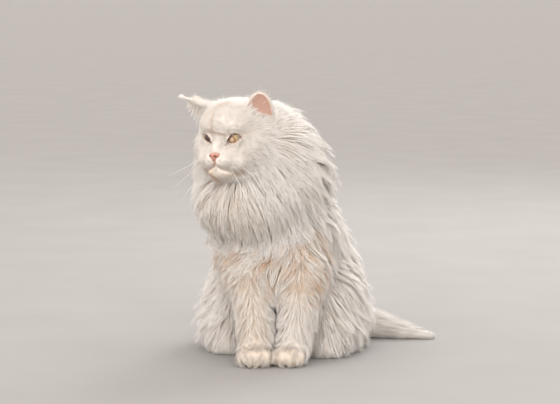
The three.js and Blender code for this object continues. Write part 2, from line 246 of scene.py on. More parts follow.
ELBOW_HIGH = 112
WRIST_HIGH = 26
FORELEGS = {
    "left": dict(elbow=[42, -74, ELBOW_HIGH], wrist=[36, -98, WRIST_HIGH], paw=[34, -110, 14], turn=-4),
    "right": dict(elbow=[-26, -76, ELBOW_HIGH], wrist=[-13, -108, WRIST_HIGH], paw=[-11, -122, 14], turn=6),
}
FORELEG_RADII = (30, 22.5)
ELBOW = (31, 30, 38)
FORE_PAW = (21.5, 24, 16)
HIND_PAW = (19, 24, 15)
HIND_PAW_AT = (66, -34, 13)
HIND_PAW_TURN = 8


def hind_paw(side):
    across, front, high = HIND_PAW_AT
    return [side * across, front, high], side * HIND_PAW_TURN, HIND_PAW


# Each paw's place, turn and half sizes
PAWS = {
    **{"forepaw_" + name: (leg["paw"], leg["turn"], FORE_PAW) for name, leg in FORELEGS.items()},
    **{"hind_paw_" + name: hind_paw(side) for name, side in SIDES.items()},
}
# Places along the tail with its radius at each
TAIL_STOPS = [
    ([10, 106, 26], 27),
    ([62, 120, 23], 25),
    ([104, 121, 16.5], 19),
    ([142, 119, 10.5], 12.5),
    ([186, 118, 3.5], 3),
]


def foreleg_masses(leg):
    x, y, z = leg["elbow"]
    return [Limb(leg["elbow"], leg["wrist"], *FORELEG_RADII), Mass([x, y + 6, z - 2], ELBOW)]


def paw_masses(at, turn, size):
    """The pad of a paw and its four toes."""
    wide, long, tall = size
    across = turned(z=turn)
    at = np.array(at, float)
    frames = (lambda p: (p - at) @ across, lambda p: across @ p + at)
    lumps = [Mass([0, 0, 0], size, *frames)]
    for toe in (-1.5, -0.5, 0.5, 1.5):
        front = -long * (0.84 - 0.09 * toe * toe)
        place = [toe * wide * 0.5, front, -tall * 0.2]
        lumps.append(Mass(place, [wide * 0.29, long * 0.42, tall * 0.68], *frames))
    return lumps


TAIL = [Limb(a[0], b[0], a[1], b[1]) for a, b in zip(TAIL_STOPS, TAIL_STOPS[1:])]

# Each ear's place and turn on the head, half sizes, how much it narrows and leans towards its tip,
# and its cup: how far that lies inside it, forward and up
EARS = {
    "left": dict(
        at=[1, 35, 25.5],
        turned=turned(x=-4) @ turned(z=30),
        size=(8.5, 20.5, 32),
        narrowing=0.12,
        lean=3.0,
        cup=(3.3, 5.8, 1.0),
    ),
    "right": dict(
        at=[4, -36, 35.5],
        turned=turned(x=78) @ turned(z=-82),
        size=(5.6, 13, 47),
        narrowing=0.7,
        lean=-7.0,
        cup=(4.6, 5.6, -14.0),
    ),
}


class Ear:
    """A cup that narrows to its tip and leans a little forward. An inset one lies inside it."""

    def __init__(self, ear, inset=0.0, forward=0.0, up=0.0):
        self.at = np.array(ear["at"], float)
        self.turned, self.narrowing = ear["turned"], ear["narrowing"]
        self.tall, self.lean = ear["size"][2], ear["lean"]
        self.shift = np.array([forward, 0, up], float)
        self.ball = Mass([0, 0, 0], np.array(ear["size"]) - inset)

    def __call__(self, p):
        q = (in_head(p) - self.at) @ self.turned - self.shift
        rise = np.clip(q[..., 2] / self.tall, 0, 1)
        forward = q[..., 0] - self.lean * rise ** 1.5
        across = q[..., 1] / (1 - self.narrowing * rise)
        return self.ball(np.stack([forward, across, q[..., 2]], -1))

    def reach(self):
        middle = on_head(self.at)
        return middle - self.tall, middle + self.tall


def cup_of(ear, shallow=0.0):
    """The hollow of an ear."""
    inset, forward, up = ear["cup"]
    return Ear(ear, inset + shallow, forward, up)


# Further away than this, a part's field isn't worked out
FAR = 45.0


class Form:
    """A part's field with the depth of its coat, worked out only where it is near."""

    def __init__(self, field, masses, depth=0):
        self.field, self.depth = field, depth
        lows, highs = zip(*[mass.reach() for mass in masses])
        self.low, self.high = np.min(lows, 0) - FAR, np.max(highs, 0) + FAR

    def __call__(self, p):
        level = np.full(len(p), FAR)
        near = np.all((p > self.low) & (p < self.high), -1)
        level[near] = np.minimum(self.field(p[near]), FAR)
        return level


# How softly the masses of each part melt into each other
SOFTNESS = dict(mane=20, trunk=22, tail=6, haunch=16, foreleg=10, forepaw=7, hind_paw=12)


def form_of(kind, masses, depth=0):
    return Form(blended(SOFTNESS[kind], *masses), masses, depth)


whole_head = blended(9, blended(14, *SKULL), blended(6, *MUZZLE))
FORMS = {
    "head": Form(hollowed(8, whole_head, blended(2, *EYE_HOLLOWS)), SKULL + MUZZLE),
    "mane": form_of("mane", MANE, MANE_DEPTH),
    "trunk": form_of("trunk", TRUNK, TRUNK_DEPTH),
    "tail": form_of("tail", TAIL, TAIL_DEPTH),
}
for name, side in SIDES.items():
    FORMS["haunch_" + name] = form_of("haunch", haunch_masses(side), HAUNCH_DEPTH)
    FORMS["foreleg_" + name] = form_of("foreleg", foreleg_masses(FORELEGS[name]), LEG_DEPTH)
    for kind in ("forepaw", "hind_paw"):
        FORMS[kind + "_" + name] = form_of(kind, paw_masses(*PAWS[kind + "_" + name]))
FOREPAWS = ["forepaw_left", "forepaw_right"]


def face_share(p):
    """1 on the short-haired face, 0 where the longer coat of the cheeks and crown begins."""
    q = in_head(p)
    return share(q[..., 0] - 0.22 * np.abs(q[..., 1]), 8, 24)


def eye_frame(side):
    """The place and the turn of an eye, in the head's frame."""
    return np.array([EYE_AT[0], side * EYE_SPREAD, EYE_AT[1]]), turned(z=side * LIDS[side]["turn"])


def in_eye(p, side):
    """Points in the eye's own frame: x out along its axis, y across to the outer corner, z up."""
    at, eye_turned = eye_frame(side)
    q = (in_head(p) - at) @ eye_turned
    slant = math.radians(LIDS[side]["slant"])
    c, s = math.cos(slant), math.sin(slant)
    y = q[..., 1] * side
    return np.stack([q[..., 0], y * c + q[..., 2] * s, q[..., 2] * c - y * s], -1)


def out_of_eye(q, side):
    """The other way round: from the eye's own frame to the body's."""
    slant = math.radians(LIDS[side]["slant"])
    c, s = math.cos(slant), math.sin(slant)
    y = q[..., 1] * c - q[..., 2] * s
    z = q[..., 1] * s + q[..., 2] * c
    at, eye_turned = eye_frame(side)
    local = np.stack([q[..., 0], y * side, z], -1) @ eye_turned.T + at
    return local @ HEAD_TURNED.T + HEAD_AT


# How many places a lid's curve has, and how many to each side round off its corners
LID_PLACES = 81
LID_ROUNDING = 6


def lid_curve(reach):
    """Smooth lids through a table of places: how far they reach up and down, from end to end."""
    places, up, down = np.array(reach, float).T
    fine = np.linspace(-1, 1, LID_PLACES)
    weights = np.hanning(2 * LID_ROUNDING + 1)
    weights = weights / weights.sum()
    curves = []
    for values in (up, down):
        curve = np.pad(np.interp(fine, places, values), LID_ROUNDING, "reflect", reflect_type="odd")
        curves.append(np.convolve(curve, weights, "valid"))
    return fine, curves


LID_CURVES = {side: lid_curve(lids["reach"]) for side, lids in LIDS.items()}


def lid_reach(across, side):
    """How far the open lids reach up and down at a place across the eye, from -1 to 1."""
    fine, (up, down) = LID_CURVES[side]
    return np.interp(across, fine, up), np.interp(across, fine, down)


def past_lids(e, side):
    """How far places in an eye's frame lie outside its opening, seen along its axis."""
    half = LIDS[side]["half"]
    up, down = lid_reach(np.clip(e[..., 1] / half, -1, 1), side)
    past = np.where(e[..., 2] > 0, e[..., 2] - up, -e[..., 2] - down)
    return np.maximum(past, np.abs(e[..., 1]) - half)


# Lines of the face as it is seen from the front: y or how far aside, then z
MOUTH_LINE = [(0, -30.5), (0.6, -35.5), (4, -38.6), (10, -41.5), (17, -44), (24, -44.5)]
FOREHEAD_FOLD = [(-10.3, 4.8), (-9.8, 15), (-9.6, 26.6), (-7.5, 32.9), (-4.2, 36.6), (3.4, 39.7)]
STOP_FOLD = [(-12.5, 6.0), (-9, 3.6), (-2.2, 1.4), (7.5, 0.4)]
CHEEK_FOLD = [(26, -44), (31, -44), (36, -48)]
UNDER_EYE_FOLD = [(20, -6), (25, -22)]


def near_line(y, z, line):
    """How far places on the face lie from a line that is drawn on it."""
    best = np.full(np.shape(y), 1e9)
    for (y0, z0), (y1, z1) in zip(line, line[1:]):
        dy, dz = y1 - y0, z1 - z0
        t = np.clip(((y - y0) * dy + (z - z0) * dz) / (dy * dy + dz * dz), 0, 1)
        best = np.minimum(best, np.hypot(y - y0 - t * dy, z - z0 - t * dz))
    return best


def near_corner(e, side):
    """How far places in an eye's frame lie from its inner corner, which is drawn out to a point."""
    half = LIDS[side]["half"]
    return near_line(e[..., 1], e[..., 2], [(-half + 1, 0.3), (-half - 1.6, -1.8)])


def face_relief(p):
    """Small rises (over 0) and folds (under 0) of the face, in millimetres."""
    q = in_head(p)
    x, y, z = q[..., 0], q[..., 1], q[..., 2]
    aside = np.abs(y)
    front = share(x, 22, 8)
    mouth = near_line(aside, z, MOUTH_LINE)
    rise = -1.7 * ridge(mouth, 1.3) * front * (1 - 0.6 * share(aside, 8, 10))
    rise = rise + 0.7 * ridge(mouth - 4, 2.4) * front
    for side in SIDES.values():
        e = in_eye(p, side)
        past = past_lids(e, side)
        ahead = (e[..., 0] > 0).astype(float)
        rise = rise + 0.9 * ridge(past - 2.4, 1.3) * ahead
        rise = rise - 0.7 * ridge(past - 5.4, 1.5) * ahead * (e[..., 2] > 0)
    rise = rise - 1.5 * ridge(near_line(y, z, FOREHEAD_FOLD), 1.9) * front
    lobe = share(z, 2, 8) * share(-z, -38, 16) * share(y, -10, 10)
    rise = rise + 0.6 * lobe * front
    rise = rise - 2.2 * ridge(near_line(y, z, STOP_FOLD), 2.3) * front
    rise = rise - 0.6 * ridge(near_line(aside, z, UNDER_EYE_FOLD), 2.6) * front
    return rise - 0.8 * ridge(near_line(aside, z, CHEEK_FOLD), 2.0) * share(x, 8, 8)


def from_ball(e, over):
    """How far places in an eye's frame lie outside a ball a little over the eyeball's size."""
    return np.sqrt((e * e).sum(-1)) - (EYEBALL + over)


def eye_opening(p):
    """Under 0 inside the socket and the slot between the lids."""
    values = []
    for side in SIDES.values():
        e = in_eye(p, side)
        slot = np.maximum(past_lids(e, side), -e[..., 0])
        values.append(np.minimum(from_ball(e, LID_GAP), slot + 0.2))
    return np.minimum(*values)


def ear_form(ear, thin):
    outer = Ear(ear, inset=thin)
    cup = cup_of(ear, -0.4 * thin)
    return Form(lambda p: np.maximum(outer(p), -cup(p)), [outer])


BARE_EARS = {name: ear_form(ear, EAR_COAT) for name, ear in EARS.items()}
COATED_EARS = {name: ear_form(ear, 0) for name, ear in EARS.items()}
WHOLE_EARS = {name: Ear(ear, EAR_COAT) for name, ear in EARS.items()}


def part_levels(p, bare, cups=True):
    """Each part's field. Bare, it is the skin's own; otherwise it is the outline of the coat."""
    levels = {}
    rise = np.clip(p[..., 2] / CORE_RISE, 0, 1)
    for name, form in FORMS.items():
        level = form(p)
        if bare and name == "head":
            level = level + 4.5 - 3.3 * face_share(p)
        elif bare and form.depth:
            level = level + (form.depth + 1) * rise
        elif bare:
            level = level + PAW_COAT
        levels[name] = level
    ears = COATED_EARS if not bare else BARE_EARS if cups else WHOLE_EARS
    for name, ear in ears.items():
        levels["ear_" + name] = ear(p)
    return levels


def skin_level(p, fine=False, cups=True):
    """The bare body's field. Fine, it has the lids, the open eyes and the relief of the face."""
    levels = part_levels(p, True, cups)
    ears = melt(2, [levels["ear_left"], levels["ear_right"]])
    head = levels["head"]
    if fine:
        lids = [from_ball(in_eye(p, side), LID_THICK) for side in SIDES.values()]
        head = melt(1.6, [head - face_relief(p), *lids])
        head = -melt(0.8, [-head, eye_opening(p)])
    head = melt(5, [head, ears])
    body = melt(14, [levels[name] for name in ("mane", "trunk", "haunch_left", "haunch_right", "tail")])
    legs = melt(8, [body, levels["foreleg_left"], levels["foreleg_right"]])
    return melt(7, [melt(9, [legs, *[levels[name] for name in PAWS]]), head])


def outline_level(p):
    """The field of the coat's outline."""
    levels = part_levels(p, False)
    rest = melt(16, [levels[name] for name in FORMS if name not in FOREPAWS])
    small = [levels[name] for name in (*FOREPAWS, "ear_left", "ear_right")]
    return melt(5, [rest, *small])


class Lattice:
    """A field and its rise, worked out once on a lattice and read between its points."""

    def __init__(self, field, low, high, cell):
        self.low, self.cell = np.array(low, float), cell
        counts = np.ceil((np.array(high) - self.low) / cell).astype(int) + 1
        axes = [self.low[i] + cell * np.arange(counts[i]) for i in range(3)]
        values = np.empty(counts, np.float32)
        for i, x in enumerate(axes[0]):
            y, z = np.meshgrid(axes[1], axes[2], indexing="ij")
            points = np.stack([np.full_like(y, x), y, z], -1).reshape(-1, 3)
            values[i] = field(points).reshape(y.shape)
        rises = np.gradient(values, cell)
        self.table = np.stack([values, *rises], -1)

    def read(self, p):
        """The field in the first column and its rise in the other three."""
        at = (p - self.low) / self.cell
        top = np.array(self.table.shape[:3]) - 2
        base = np.clip(np.floor(at).astype(int), 0, top)
        part = np.clip(at - base, 0, 1)
        whole = 0
        for corner in range(8):
            step = np.array([corner & 1, corner >> 1 & 1, corner >> 2 & 1])
            share = np.prod(np.where(step, part, 1 - part), -1)
            i, j, k = (base + step).T
            whole = whole + self.table[i, j, k] * share[:, None]
        return whole


# How far apart the places are from which a field's rise is worked out
STEP = 0.4


def settle(field, p, level=0.0, rounds=3, most=4.0):
    """Moves points straight out or in until they lie at a level of a field."""
    for _ in range(rounds):
        here = field(p)
        rise = np.stack([(field(p + STEP * axis) - here) / STEP for axis in np.eye(3)], -1)
        size = np.maximum((rise * rise).sum(-1), 0.2)
        move = (level - here) / size
        p = p + np.clip(move, -most, most)[:, None] * rise
    return p


# Making meshes


def nothing_selected():
    if bpy.context.mode != "OBJECT":
        bpy.ops.object.mode_set(mode="OBJECT")
    bpy.ops.object.select_all(action="DESELECT")


def made(name):
    """The piece that was just added, with its place in its mesh."""
    piece = bpy.context.active_object
    piece.name = name
    bpy.ops.object.transform_apply(location=True, rotation=True, scale=True)
    return piece


def alone(piece):
    """Selects a piece and nothing else."""
    nothing_selected()
    piece.select_set(True)
    bpy.context.view_layer.objects.active = piece


def joined(pieces, name):
    alone(pieces[0])
    for piece in pieces:
        piece.select_set(True)
    bpy.ops.object.join()
    pieces[0].name = name
    return pieces[0]


def finished(piece, kind, **values):
    """Adds a modifier to a piece and applies it."""
    alone(piece)
    modifier = piece.modifiers.new(kind.lower(), kind)
    for key, value in values.items():
        setattr(modifier, key, value)
    bpy.ops.object.modifier_apply(modifier=modifier.name)
    return piece


def smooth_shaded(piece):
    alone(piece)
    bpy.ops.object.shade_smooth()
    return piece


def listed(items, key, width, kind=float):
    """One value of every item of a mesh, as rows."""
    values = np.empty(len(items) * width, kind)
    items.foreach_get(key, values)
    return values.reshape(-1, width)


def places_of(piece):
    return listed(piece.data.vertices, "co", 3) / MM


def put_places(piece, places):
    piece.data.vertices.foreach_set("co", (places * MM).astype(np.float32).ravel())
    piece.data.update()


def painted(mesh, **values):
    """Writes values on a mesh's points for its material to read."""
    for name, value in values.items():
        layer = mesh.attributes.new(name, "FLOAT", "POINT")
        layer.data.foreach_set("value", value.astype(np.float32))


def lump(at, size, turn=None, subdivisions=4):
    """A ball at its size and place, in millimetres."""
    nothing_selected()
    rotation = Matrix(turn.tolist()).to_euler() if turn is not None else (0, 0, 0)
    bpy.ops.mesh.primitive_ico_sphere_add(
        subdivisions=subdivisions,
        radius=1,
        location=[v * MM for v in at],
        rotation=rotation,
        scale=[v * MM for v in size],
    )
    return made("lump")


def length_of_limb(limb, depth):
    """A cone with rounded ends under a coat of a depth, for a leg or a length of tail."""
    nothing_selected()
    first, last = limb.first - depth, limb.last - depth
    bpy.ops.mesh.primitive_cone_add(
        vertices=32,
        radius1=first * MM,
        radius2=last * MM,
        depth=float(np.linalg.norm(limb.along)) * MM,
        location=(limb.start + limb.along / 2) * MM,
        rotation=Vector(limb.along).to_track_quat("Z", "Y").to_euler(),
    )
    cone = made("limb")
    ends = [lump(limb.start, [first] * 3), lump(limb.start + limb.along, [last] * 3)]
    return joined([cone, *ends], "limb")


def select_faces(piece, wanted):
    """Selects the faces whose middle is wanted, in edit mode."""
    alone(piece)
    picked = wanted(listed(piece.data.polygons, "center", 3) / MM)
    bpy.ops.object.mode_set(mode="EDIT")
    bpy.ops.mesh.select_mode(type="FACE")
    bpy.ops.mesh.select_all(action="DESELECT")
    bpy.ops.object.mode_set(mode="OBJECT")
    piece.data.polygons.foreach_set("select", picked)
    bpy.ops.object.mode_set(mode="EDIT")


def subdivided(piece, wanted):
    """Divides the faces whose middle is wanted once."""
    select_faces(piece, wanted)
    bpy.ops.mesh.subdivide(number_cuts=1)
    nothing_selected()


SKIN_VOXEL = 3.05
SKIN_SMOOTHING = 6
# Where the skin is divided finer, on the head: from how far forward, how far aside, and which heights
WHOLE_FACE = (16, 40, -80, 32)
BY_EYES = (24, 31, -62, 14)
RELIEF = (14, 44, -math.inf, 36)
# How far from the root of an ear the skin is divided once, and twice
EAR_REACHES = (44, 37)
LID_REACH = 16
# The lowest place of the skin over the floor
RESTING = 0.3


def within(p, region):
    q = in_head(p)
    forward, aside, low, high = region
    return (q[:, 0] > forward) & (q[:, 2] < high) & (q[:, 2] > low) & (np.abs(q[:, 1]) < aside)


def on_ears(p, reach):
    q = in_head(p)
    near = np.any([np.linalg.norm(q - ear["at"], axis=1) < reach for ear in EARS.values()], 0)
    return near & (q[:, 2] > 8) & (q[:, 0] > -22)


def on_lids(p):
    return np.any([from_ball(in_eye(p, side), LID_REACH - EYEBALL) < 0 for side in SIDES.values()], 0)


def skin_lumps():
    """Every mass of the body in its place, less the depth of the coat over it."""
    lumps = [lump(on_head(mass.at), mass.size - 2, HEAD_TURNED) for mass in [*SKULL, *MUZZLE]]
    haunches = [*haunch_masses(1), *haunch_masses(-1)]
    for masses, depth in ((MANE, MANE_DEPTH), (TRUNK, TRUNK_DEPTH), (haunches, HAUNCH_DEPTH)):
        lumps += [lump(mass.at, mass.size - depth) for mass in masses]
    for leg in FORELEGS.values():
        limb, elbow = foreleg_masses(leg)
        lumps.append(length_of_limb(limb, LEG_DEPTH))
        lumps.append(lump(elbow.at, elbow.size - LEG_DEPTH))
    lumps += [length_of_limb(limb, TAIL_DEPTH / 2) for limb in TAIL]
    for at, turn, size in PAWS.values():
        for mass in paw_masses(at, turn, size):
            lumps.append(lump(mass.out(mass.at), mass.size, turned(z=turn), 3))
    for ear in EARS.values():
        middle = np.array(ear["at"]) + ear["turned"] @ np.array([1.5, 0, 0])
        thick, wide, tall = ear["size"]
        lumps.append(lump(on_head(middle), [thick - 1, wide - 4, tall - 1], HEAD_TURNED @ ear["turned"]))
    return lumps


def make_skin():
    """The bare body in one skin: every mass melted together, then the face drawn in."""

    def plain(p):
        return skin_level(p, cups=False)

    def fine(p):
        return skin_level(p, fine=True)

    skin = joined(skin_lumps(), "skin")
    finished(skin, "REMESH", mode="VOXEL", voxel_size=SKIN_VOXEL * MM)
    finished(skin, "SMOOTH", factor=0.5, iterations=SKIN_SMOOTHING)
    put_places(skin, settle(plain, places_of(skin), rounds=4))
    wide_reach, close_reach = EAR_REACHES
    subdivided(skin, lambda p: within(p, WHOLE_FACE) | on_ears(p, wide_reach))
    subdivided(skin, lambda p: within(p, BY_EYES) | on_ears(p, close_reach))
    finished(skin, "SMOOTH", factor=0.3, iterations=2)
    put_places(skin, settle(plain, places_of(skin), rounds=1))
    subdivided(skin, on_lids)
    places = settle(plain, places_of(skin), rounds=2)
    close = within(places, RELIEF)
    places[close] = settle(fine, places[close], rounds=8, most=1.5)
    places[:, 2] = np.maximum(places[:, 2], RESTING)
    places, sunk = sink_cups(places)
    put_places(skin, places)
    cups = skin.vertex_groups.new(name="cups")
    cups.add(np.flatnonzero(sunk).tolist(), 1.0, "REPLACE")
    finished(skin, "SMOOTH", factor=0.5, iterations=SKIN_SMOOTHING, vertex_group="cups")
    return smooth_shaded(skin)


DEEPEST_CUP = 14


def sink_cups(p):
    """Sinks the front of each ear straight back into its cup."""
    p, sunk = p.copy(), np.zeros(len(p), bool)
    for ear in EARS.values():
        back = HEAD_TURNED @ ear["turned"] @ np.array([-1.0, 0, 0])
        near = np.flatnonzero(np.linalg.norm(in_head(p) - ear["at"], axis=1) < 46)
        near = near[skin_level(p[near]) > 0.25]
        deep = np.zeros(len(near))
        for _ in range(30):
            value = skin_level(p[near] + back * deep[:, None])
            deep = deep + np.clip(0.7 * value, 0, 1)
        good = deep < DEEPEST_CUP
        p[near[good]] += back * deep[good][:, None]
        sunk[near[good]] = True
    return p, sunk


skin = make_skin()


# The coat

NOSE_TIP = (54, 0, -16)
FACE_MIDDLE = (30, 0, -10)
# On the chest the coat parts at this place, across and up
CHEST_PARTING = (38, 204)


def lie_of_head(p):
    """From the nose back over the face, and from the face back and down into the mane."""
    from_nose = unit(in_head(p) - np.array(NOSE_TIP)) @ HEAD_TURNED.T
    down = share(-p[:, 2], -310, 40)
    sinking = np.stack([np.zeros(len(p)), np.full(len(p), 0.1), -0.25 - 0.6 * down], -1)
    from_face = unit(p - on_head(FACE_MIDDLE)) + sinking
    bare = face_share(p)[:, None]
    return unit(from_face) * (1 - bare) + from_nose * bare


def lie_of_trunk(p):
    """Down and a little back, and on the chest outwards from a place under the ruff."""
    front = share(-p[:, 1], 20, 40) * share(p[:, 2], 60, 40)
    across, up = CHEST_PARTING
    from_parting = np.stack([p[:, 0] - across, np.zeros(len(p)), p[:, 2] - up], -1)
    back = np.where(p[:, 1] > 40, 0.5, 0.15)
    down = np.stack([0.0015 * p[:, 0], back, -np.ones(len(p))], -1)
    return down * (1 - front)[:, None] + unit(from_parting) * front[:, None]


def down_leg(z):
    """0 at the height of the elbow and 1 at the wrist."""
    return share(-z, -ELBOW_HIGH, ELBOW_HIGH - WRIST_HIGH)


def lie_of_leg(side):
    elbow, wrist = FORELEGS[side]["elbow"][0], FORELEGS[side]["wrist"][0]

    def lie(p):
        middle = elbow + (wrist - elbow) * down_leg(p[:, 2])
        outer = np.clip((p[:, 0] - middle) / 18, -1, 1)
        high = share(p[:, 2], 60, 40)
        return np.stack([outer * (0.15 + 0.5 * high), 0.15 + 0.25 * high, -np.ones(len(p))], -1)

    return lie


def steady(*way):
    return lambda p: np.broadcast_to(np.array(way, float), p.shape)


def lie_of_ear(name):
    """Up along the back of an ear; hairs that grow in its cup lie across it or hang from it."""
    ear = EARS[name]
    along = HEAD_TURNED @ ear["turned"] @ np.array([0.1, 0, 1.0])
    across = HEAD_TURNED @ np.array([0.1, -0.45, -0.9] if name == "right" else [0.2, 0.75, 0.45])

    def lie(p):
        inside = smooth(-cup_of(ear)(p), -2.5, -0.5)[:, None]
        return along * (1 - inside) + across * inside

    return lie


# Each part's coat: length, width and thickness of a tuft, tips above the outline, how far they stand
# off, how far apart the middles of its locks are, how much a lock draws its tufts together, its
# curl, and tufts per cm2
COATS = {
    "head": dict(long=22, wide=0.8, thick=0.32, lift=0.8, flick=2, lock=6, draw=0.35, curl=0.4, close=46),
    "mane": dict(long=50, wide=0.95, thick=0.4, lift=1.6, flick=15, lock=8.5, draw=0.7, curl=1.2, close=33.5),
    "trunk": dict(long=40, wide=0.95, thick=0.45, lift=1.4, flick=5, lock=9, draw=0.65, curl=1.6, close=24),
    "haunch": dict(long=36, wide=0.85, thick=0.4, lift=1.5, flick=9, lock=8, draw=0.5, curl=0.9, close=30),
    "foreleg": dict(long=19, wide=0.75, thick=0.35, lift=1.6, flick=2, lock=5, draw=0.4, curl=0.5, close=36),
    "tail": dict(long=42, wide=0.9, thick=0.4, lift=0.8, flick=1, lock=7, draw=0.4, curl=0.7, close=32),
    "forepaw": dict(long=12, wide=0.6, thick=0.3, lift=1.8, flick=1, lock=4, draw=0.35, curl=0.3, close=64),
    "ear": dict(long=8, wide=0.5, thick=0.25, lift=0.6, flick=1, lock=4, draw=0.3, curl=0.3, close=70),
    "face": dict(long=6, wide=0.45, thick=0.22, lift=0.4, flick=0, lock=3, draw=0.2, curl=0.15, close=115),
}
PAIRED = {"haunch", "foreleg", "forepaw", "ear"}
KINDS = []
for kind in COATS:
    KINDS += [kind + "_left", kind + "_right"] if kind in PAIRED else [kind]


def of_kinds(key):
    """One value of the coats, for every kind."""
    return np.array([COATS[kind.removesuffix("_left").removesuffix("_right")][key] for kind in KINDS])

LIES = {
    "head": lie_of_head,
    "mane": lie_of_head,
    "trunk": lie_of_trunk,
    "haunch_left": steady(0.2, 0.3, -1),
    "haunch_right": steady(-0.2, 0.3, -1),
    "foreleg_left": lie_of_leg("left"),
    "foreleg_right": lie_of_leg("right"),
    "tail": steady(1, 0, -0.1),
    "forepaw_left": steady(0, -0.5, -0.5),
    "forepaw_right": steady(0, -0.5, -0.5),
    "ear_left": lie_of_ear("left"),
    "ear_right": lie_of_ear("right"),
    "face": lie_of_head,
}


# How far a part's coat runs over into its neighbours'
OVERLAP = 3.5


def shares(p):
    """How much of each part's coat grows at a place. The shares add up to 1."""
    levels = part_levels(p, True)
    face = face_share(p)[:, None]
    for side in SIDES:
        haunch = "haunch_" + side
        levels[haunch] = np.minimum(levels[haunch], levels["hind_paw_" + side])
    values = np.stack([levels[name] for name in KINDS if name != "face"], -1)
    values = values - values.min(-1, keepdims=True)
    weights = np.exp(-values / OVERLAP)
    weights = weights / weights.sum(-1, keepdims=True)
    head = weights[:, 0:1]
    weights = np.concatenate([weights, head * face], -1)
    weights[:, 0:1] = head * (1 - face)
    return weights


# No tuft grows from the skin below this height
LOWEST_ROOT = 1.2
MM2_IN_CM2 = 100


def scatter(rng, piece):
    """Roots over the skin, closest on the face and feet."""
    mesh = piece.data
    mesh.calc_loop_triangles()
    corners = listed(mesh.loop_triangles, "vertices", 3, np.int32)
    places = places_of(piece)
    a, b, c = (places[corners[:, i]] for i in range(3))
    middle = (a + b + c) / 3
    across = np.cross(b - a, c - a)
    area = np.sqrt((across * across).sum(-1)) / 2 / MM2_IN_CM2
    want = area * (shares(middle) @ of_kinds("close"))
    want[middle[:, 2] < LOWEST_ROOT] = 0
    count = int(want.sum())
    order = np.cumsum(want) / want.sum()
    picks = np.searchsorted(order, (np.arange(count) + rng.random(count)) / count)
    picks = np.minimum(picks, len(want) - 1)
    u, v = rng.random(count), rng.random(count)
    flip = u + v > 1
    u[flip], v[flip] = 1 - u[flip], 1 - v[flip]
    roots = a[picks] + u[:, None] * (b - a)[picks] + v[:, None] * (c - a)[picks]
    return roots, unit(across)[picks]


def tree_of(points, numbers):
    tree = KDTree(len(points))
    for i in numbers:
        tree.insert(points[i], int(i))
    tree.balance()
    return tree


def nearest(points, centres):
    """For each point the number of the centre nearest to it."""
    tree = tree_of(centres, range(len(centres)))
    return np.array([tree.find(point)[1] for point in points])


def thinned(rng, points, spacing):
    """Numbers of some of the points, each at least its own spacing from the others."""
    order = rng.permutation(len(points))
    tree = tree_of(points, order)
    taken = np.zeros(len(points), bool)
    kept = []
    for i in order:
        if taken[i]:
            continue
        kept.append(i)
        for _, other, _ in tree.find_range(points[i], spacing[i]):
            taken[other] = True
    return np.array(kept)


# How many lengths a tuft has at most
STEPS = 4
OUTLINE = Lattice(outline_level, [-150, -190, -12], [220, 185, 385], 3.0)


def comb(roots, values, lies, sway, lift, flick):
    """The line of each tuft: from its root along the lie, rising to the outline at its tip."""
    at = roots.copy()
    here = OUTLINE.read(at)
    start = here[:, 0]
    lines, outs = [at], []
    for i in range(1, STEPS + 1):
        out = unit(here[:, 1:])
        outs.append(out)
        way = lies(at)
        way = unit(way - (way * out).sum(-1, keepdims=True) * out)
        side = np.cross(out, way)
        turn = sway * (1 - 1.6 * i / STEPS)
        way = way * np.cos(turn)[:, None] + side * np.sin(turn)[:, None]
        at = at + way * (values["long"] / STEPS)[:, None]
        rise = 1 - (1 - i / STEPS) ** 1.6
        wanted = start + (np.maximum(lift, start + 0.9) - start) * rise + flick * (i / STEPS) ** 3
        here = OUTLINE.read(at)
        at = at + unit(here[:, 1:]) * np.clip(wanted - here[:, 0], -9, 9)[:, None]
        here = OUTLINE.read(at)
        lines.append(at)
    outs.append(unit(here[:, 1:]))
    return np.stack(lines, 1), np.stack(outs, 1)


def in_ear(q, ear):
    """Points of the head in an ear's own frame."""
    return (q - np.array(ear["at"])) @ ear["turned"]


